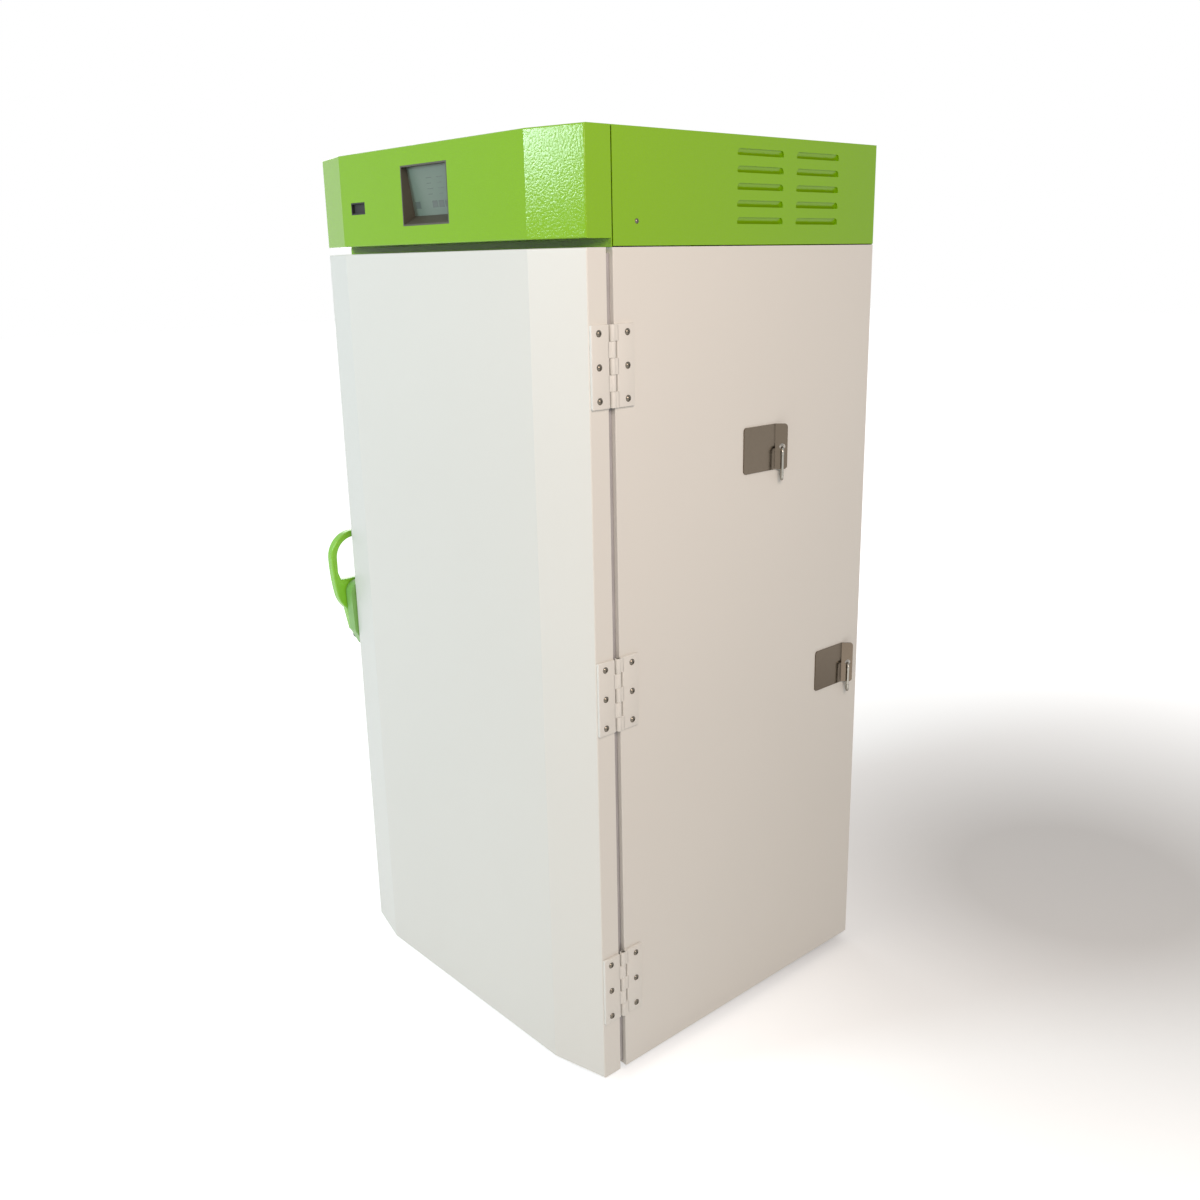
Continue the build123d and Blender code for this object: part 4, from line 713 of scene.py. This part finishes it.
def door_lining():
    low, high = box_mm("door_inner_panel")
    back = box_mm("door_skin")[1].y
    bm = bmesh.new()
    soft_block(bm, low, (high.x, back, high.z), LINING_EDGE, segments=1)
    soft_block(bm, (low.x + LINING_RIM, back - PROUD_LAP, low.z + LINING_RIM),
               (high.x - LINING_RIM, high.y, high.z - LINING_RIM), PROUD_EDGE, segments=5)
    proud = [f for f in bm.faces
             if f.calc_area() > PROUD_FACE and f.calc_center_median().y > (high.y - PROUD_LAP) * MM]
    sink_panel(bm, proud, LINING_PANEL_RIM, LINING_PANEL_SLOPE, LINING_PANEL_DEEP)
    piece("door_lining", bm, "door", "white_plastic", ["door_inner_panel"])


door_lining()

# %% [markdown]
# ## Floor, light and camera
# The picture is a cut-out on white with a soft shadow. A brighter floor would throw its light
# back on the freezer. So the floor is pale, and only for the camera and for mirrors it glows: the
# more, the further a point is from the middle of the shadow. Where it glows least, round that
# middle, the floor is darkened by painted shadow on top of the shadow the lamps cast. It runs
# into the white surroundings, and the cast shadow remains.

# %% Floor
# Painted shadow: the floor's glow is least round this point, darkening it beyond the lamps' shadow
PAINTED_SHADOW_MIDDLE = (0.7, 1.1, 0.0)         # metres, behind the freezer on its hinge side
GLOW_NEAR, GLOW_FAR = 0.3, 2.1
GLOW_LEAST, GLOW_MOST = 0.06, 0.9
PAPER = (0.82, 0.82, 0.82, 1.0)
FLOOR_REACH = 30.0


def directly_seen(tree):
    """1 for rays from the camera, from a mirror or through glass, and 0 for light on the object."""
    path = node(tree, "ShaderNodeLightPath")
    seen = path.outputs["Is Camera Ray"]
    for label in ("Is Glossy Ray", "Is Transmission Ray"):
        either = node(tree, "ShaderNodeMath")
        either.operation = "MAXIMUM"
        tree.links.new(seen, either.inputs[0])
        tree.links.new(path.outputs[label], either.inputs[1])
        seen = either.outputs[0]
    return seen


def studio_paper():
    material = bpy.data.materials.new("studio_paper")
    material.use_nodes = True
    tree = material.node_tree
    tree.nodes.clear()
    place = node(tree, "ShaderNodeTexCoord")
    # The glow rises away from the shadow's middle; its dip there is painted shadow on the floor
    distance = node(tree, "ShaderNodeVectorMath")
    distance.operation = "DISTANCE"
    distance.inputs[1].default_value = PAINTED_SHADOW_MIDDLE
    tree.links.new(place.outputs["Object"], distance.inputs[0])
    rise = node(tree, "ShaderNodeMapRange", From_Min=GLOW_NEAR, From_Max=GLOW_FAR,
                To_Min=GLOW_LEAST, To_Max=GLOW_MOST)
    tree.links.new(distance.outputs["Value"], rise.inputs["Value"])
    lift = node(tree, "ShaderNodeMath")
    lift.operation = "MULTIPLY"
    tree.links.new(directly_seen(tree), lift.inputs[0])
    tree.links.new(rise.outputs["Result"], lift.inputs[1])
    glow = node(tree, "ShaderNodeEmission")
    tree.links.new(lift.outputs[0], glow.inputs["Strength"])
    paper = node(tree, "ShaderNodeBsdfDiffuse", Color=PAPER)
    both = node(tree, "ShaderNodeAddShader")
    tree.links.new(paper.outputs[0], both.inputs[0])
    tree.links.new(glow.outputs[0], both.inputs[1])
    sink = node(tree, "ShaderNodeOutputMaterial")
    tree.links.new(both.outputs[0], sink.inputs["Surface"])
    return material


def studio_floor():
    bm = bmesh.new()
    bmesh.ops.create_grid(bm, x_segments=1, y_segments=1, size=FLOOR_REACH)
    mesh = bpy.data.meshes.new("studio_floor")
    bm.to_mesh(mesh)
    bm.free()
    mesh.materials.append(studio_paper())
    floor = bpy.data.objects.new("studio_floor", mesh)
    bpy.context.scene.collection.objects.link(floor)
    print("floor:", 2 * FLOOR_REACH, "m across")


studio_floor()

# %% [markdown]
# The surroundings are white where they are seen, and dimmer where they light the freezer. As
# bright as they look, they would wash out its paint.

# %% Surroundings
SEEN_WHITE, SEEN_STRENGTH = (1.0, 1.0, 1.0, 1.0), 1.0
LIT_WHITE, LIT_STRENGTH = (1.0, 0.98, 0.95, 1.0), 0.36


def surroundings():
    world = bpy.data.worlds.new("studio")
    bpy.context.scene.world = world
    world.use_nodes = True
    tree = world.node_tree
    tree.nodes.clear()
    white = node(tree, "ShaderNodeBackground", Color=SEEN_WHITE, Strength=SEEN_STRENGTH)
    light = node(tree, "ShaderNodeBackground", Color=LIT_WHITE, Strength=LIT_STRENGTH)
    choose = node(tree, "ShaderNodeMixShader")
    sink = node(tree, "ShaderNodeOutputWorld")
    tree.links.new(directly_seen(tree), choose.inputs[0])
    tree.links.new(light.outputs[0], choose.inputs[1])
    tree.links.new(white.outputs[0], choose.inputs[2])
    tree.links.new(choose.outputs[0], sink.inputs["Surface"])
    print("surroundings:", SEEN_STRENGTH, "seen and", LIT_STRENGTH, "as light")


surroundings()

# %% [markdown]
# A cool lamp in front lights the door, and its reflection sits on the upper slanted edge. A warm
# lamp near the camera lifts the side, and a weak one on the left keeps the far side and the open
# door from going dark. One even light would do without lamps, but it gives no highlight.

# %% Lamps
def lamp(name, place, aim, size, power, colour):
    data = bpy.data.lights.new(name, "AREA")
    data.shape = "SQUARE"
    data.size = size
    data.energy = power
    data.color = colour
    obj = bpy.data.objects.new(name, data)
    obj.location = place
    obj.rotation_euler = (Vector(aim) - Vector(place)).to_track_quat("-Z", "Y").to_euler()
    bpy.context.scene.collection.objects.link(obj)
    print(name, power, "W")


lamp("front_lamp", place=(-1.25, -3.33, 2.45), aim=(0, -0.2, 1.1), size=0.9, power=58,
     colour=(0.78, 0.94, 1.0))
lamp("left_lamp", place=(-3.4, 1.2, 2.0), aim=(0, 0.2, 0.6), size=1.6, power=16,
     colour=(1.0, 1.0, 1.0))
lamp("camera_side_lamp", place=(2.6, -1.3, 2.5), aim=(0.45, -0.1, 1.3), size=1.2, power=45,
     colour=(1.0, 0.84, 0.74))

# %% [markdown]
# The camera stands at the photograph's viewing angle: to the right of the door, near the top of
# the freezer and looking down. It could be aimed by eye. Here its place, direction and lens are
# fitted to the edges of the body, so that the two outlines can be laid over each other.

# %% Camera
EYE_PLACE = (1.99087, -1.7139, 1.6378)
EYE_ACROSS = (0.66663, 0.74516, -0.01832)
EYE_UP = (-0.18561, 0.18975, 0.96413)
EYE_BACK = (0.72191, -0.63932, 0.26480)
eye = bpy.data.cameras.new("eye")
eye.sensor_width = 36.0
eye.lens = 35.10
eye.shift_x = -0.0066
eye.shift_y = -0.0155
camera = bpy.data.objects.new("eye", eye)
turn = Matrix((EYE_ACROSS, EYE_UP, EYE_BACK)).transposed()
camera.matrix_world = Matrix.Translation(EYE_PLACE) @ turn.to_4x4()
bpy.context.scene.collection.objects.link(camera)
bpy.context.scene.camera = camera
bpy.context.scene.view_settings.view_transform = "Standard"
print("camera:", round(eye.lens, 2), "mm lens at", EYE_PLACE)
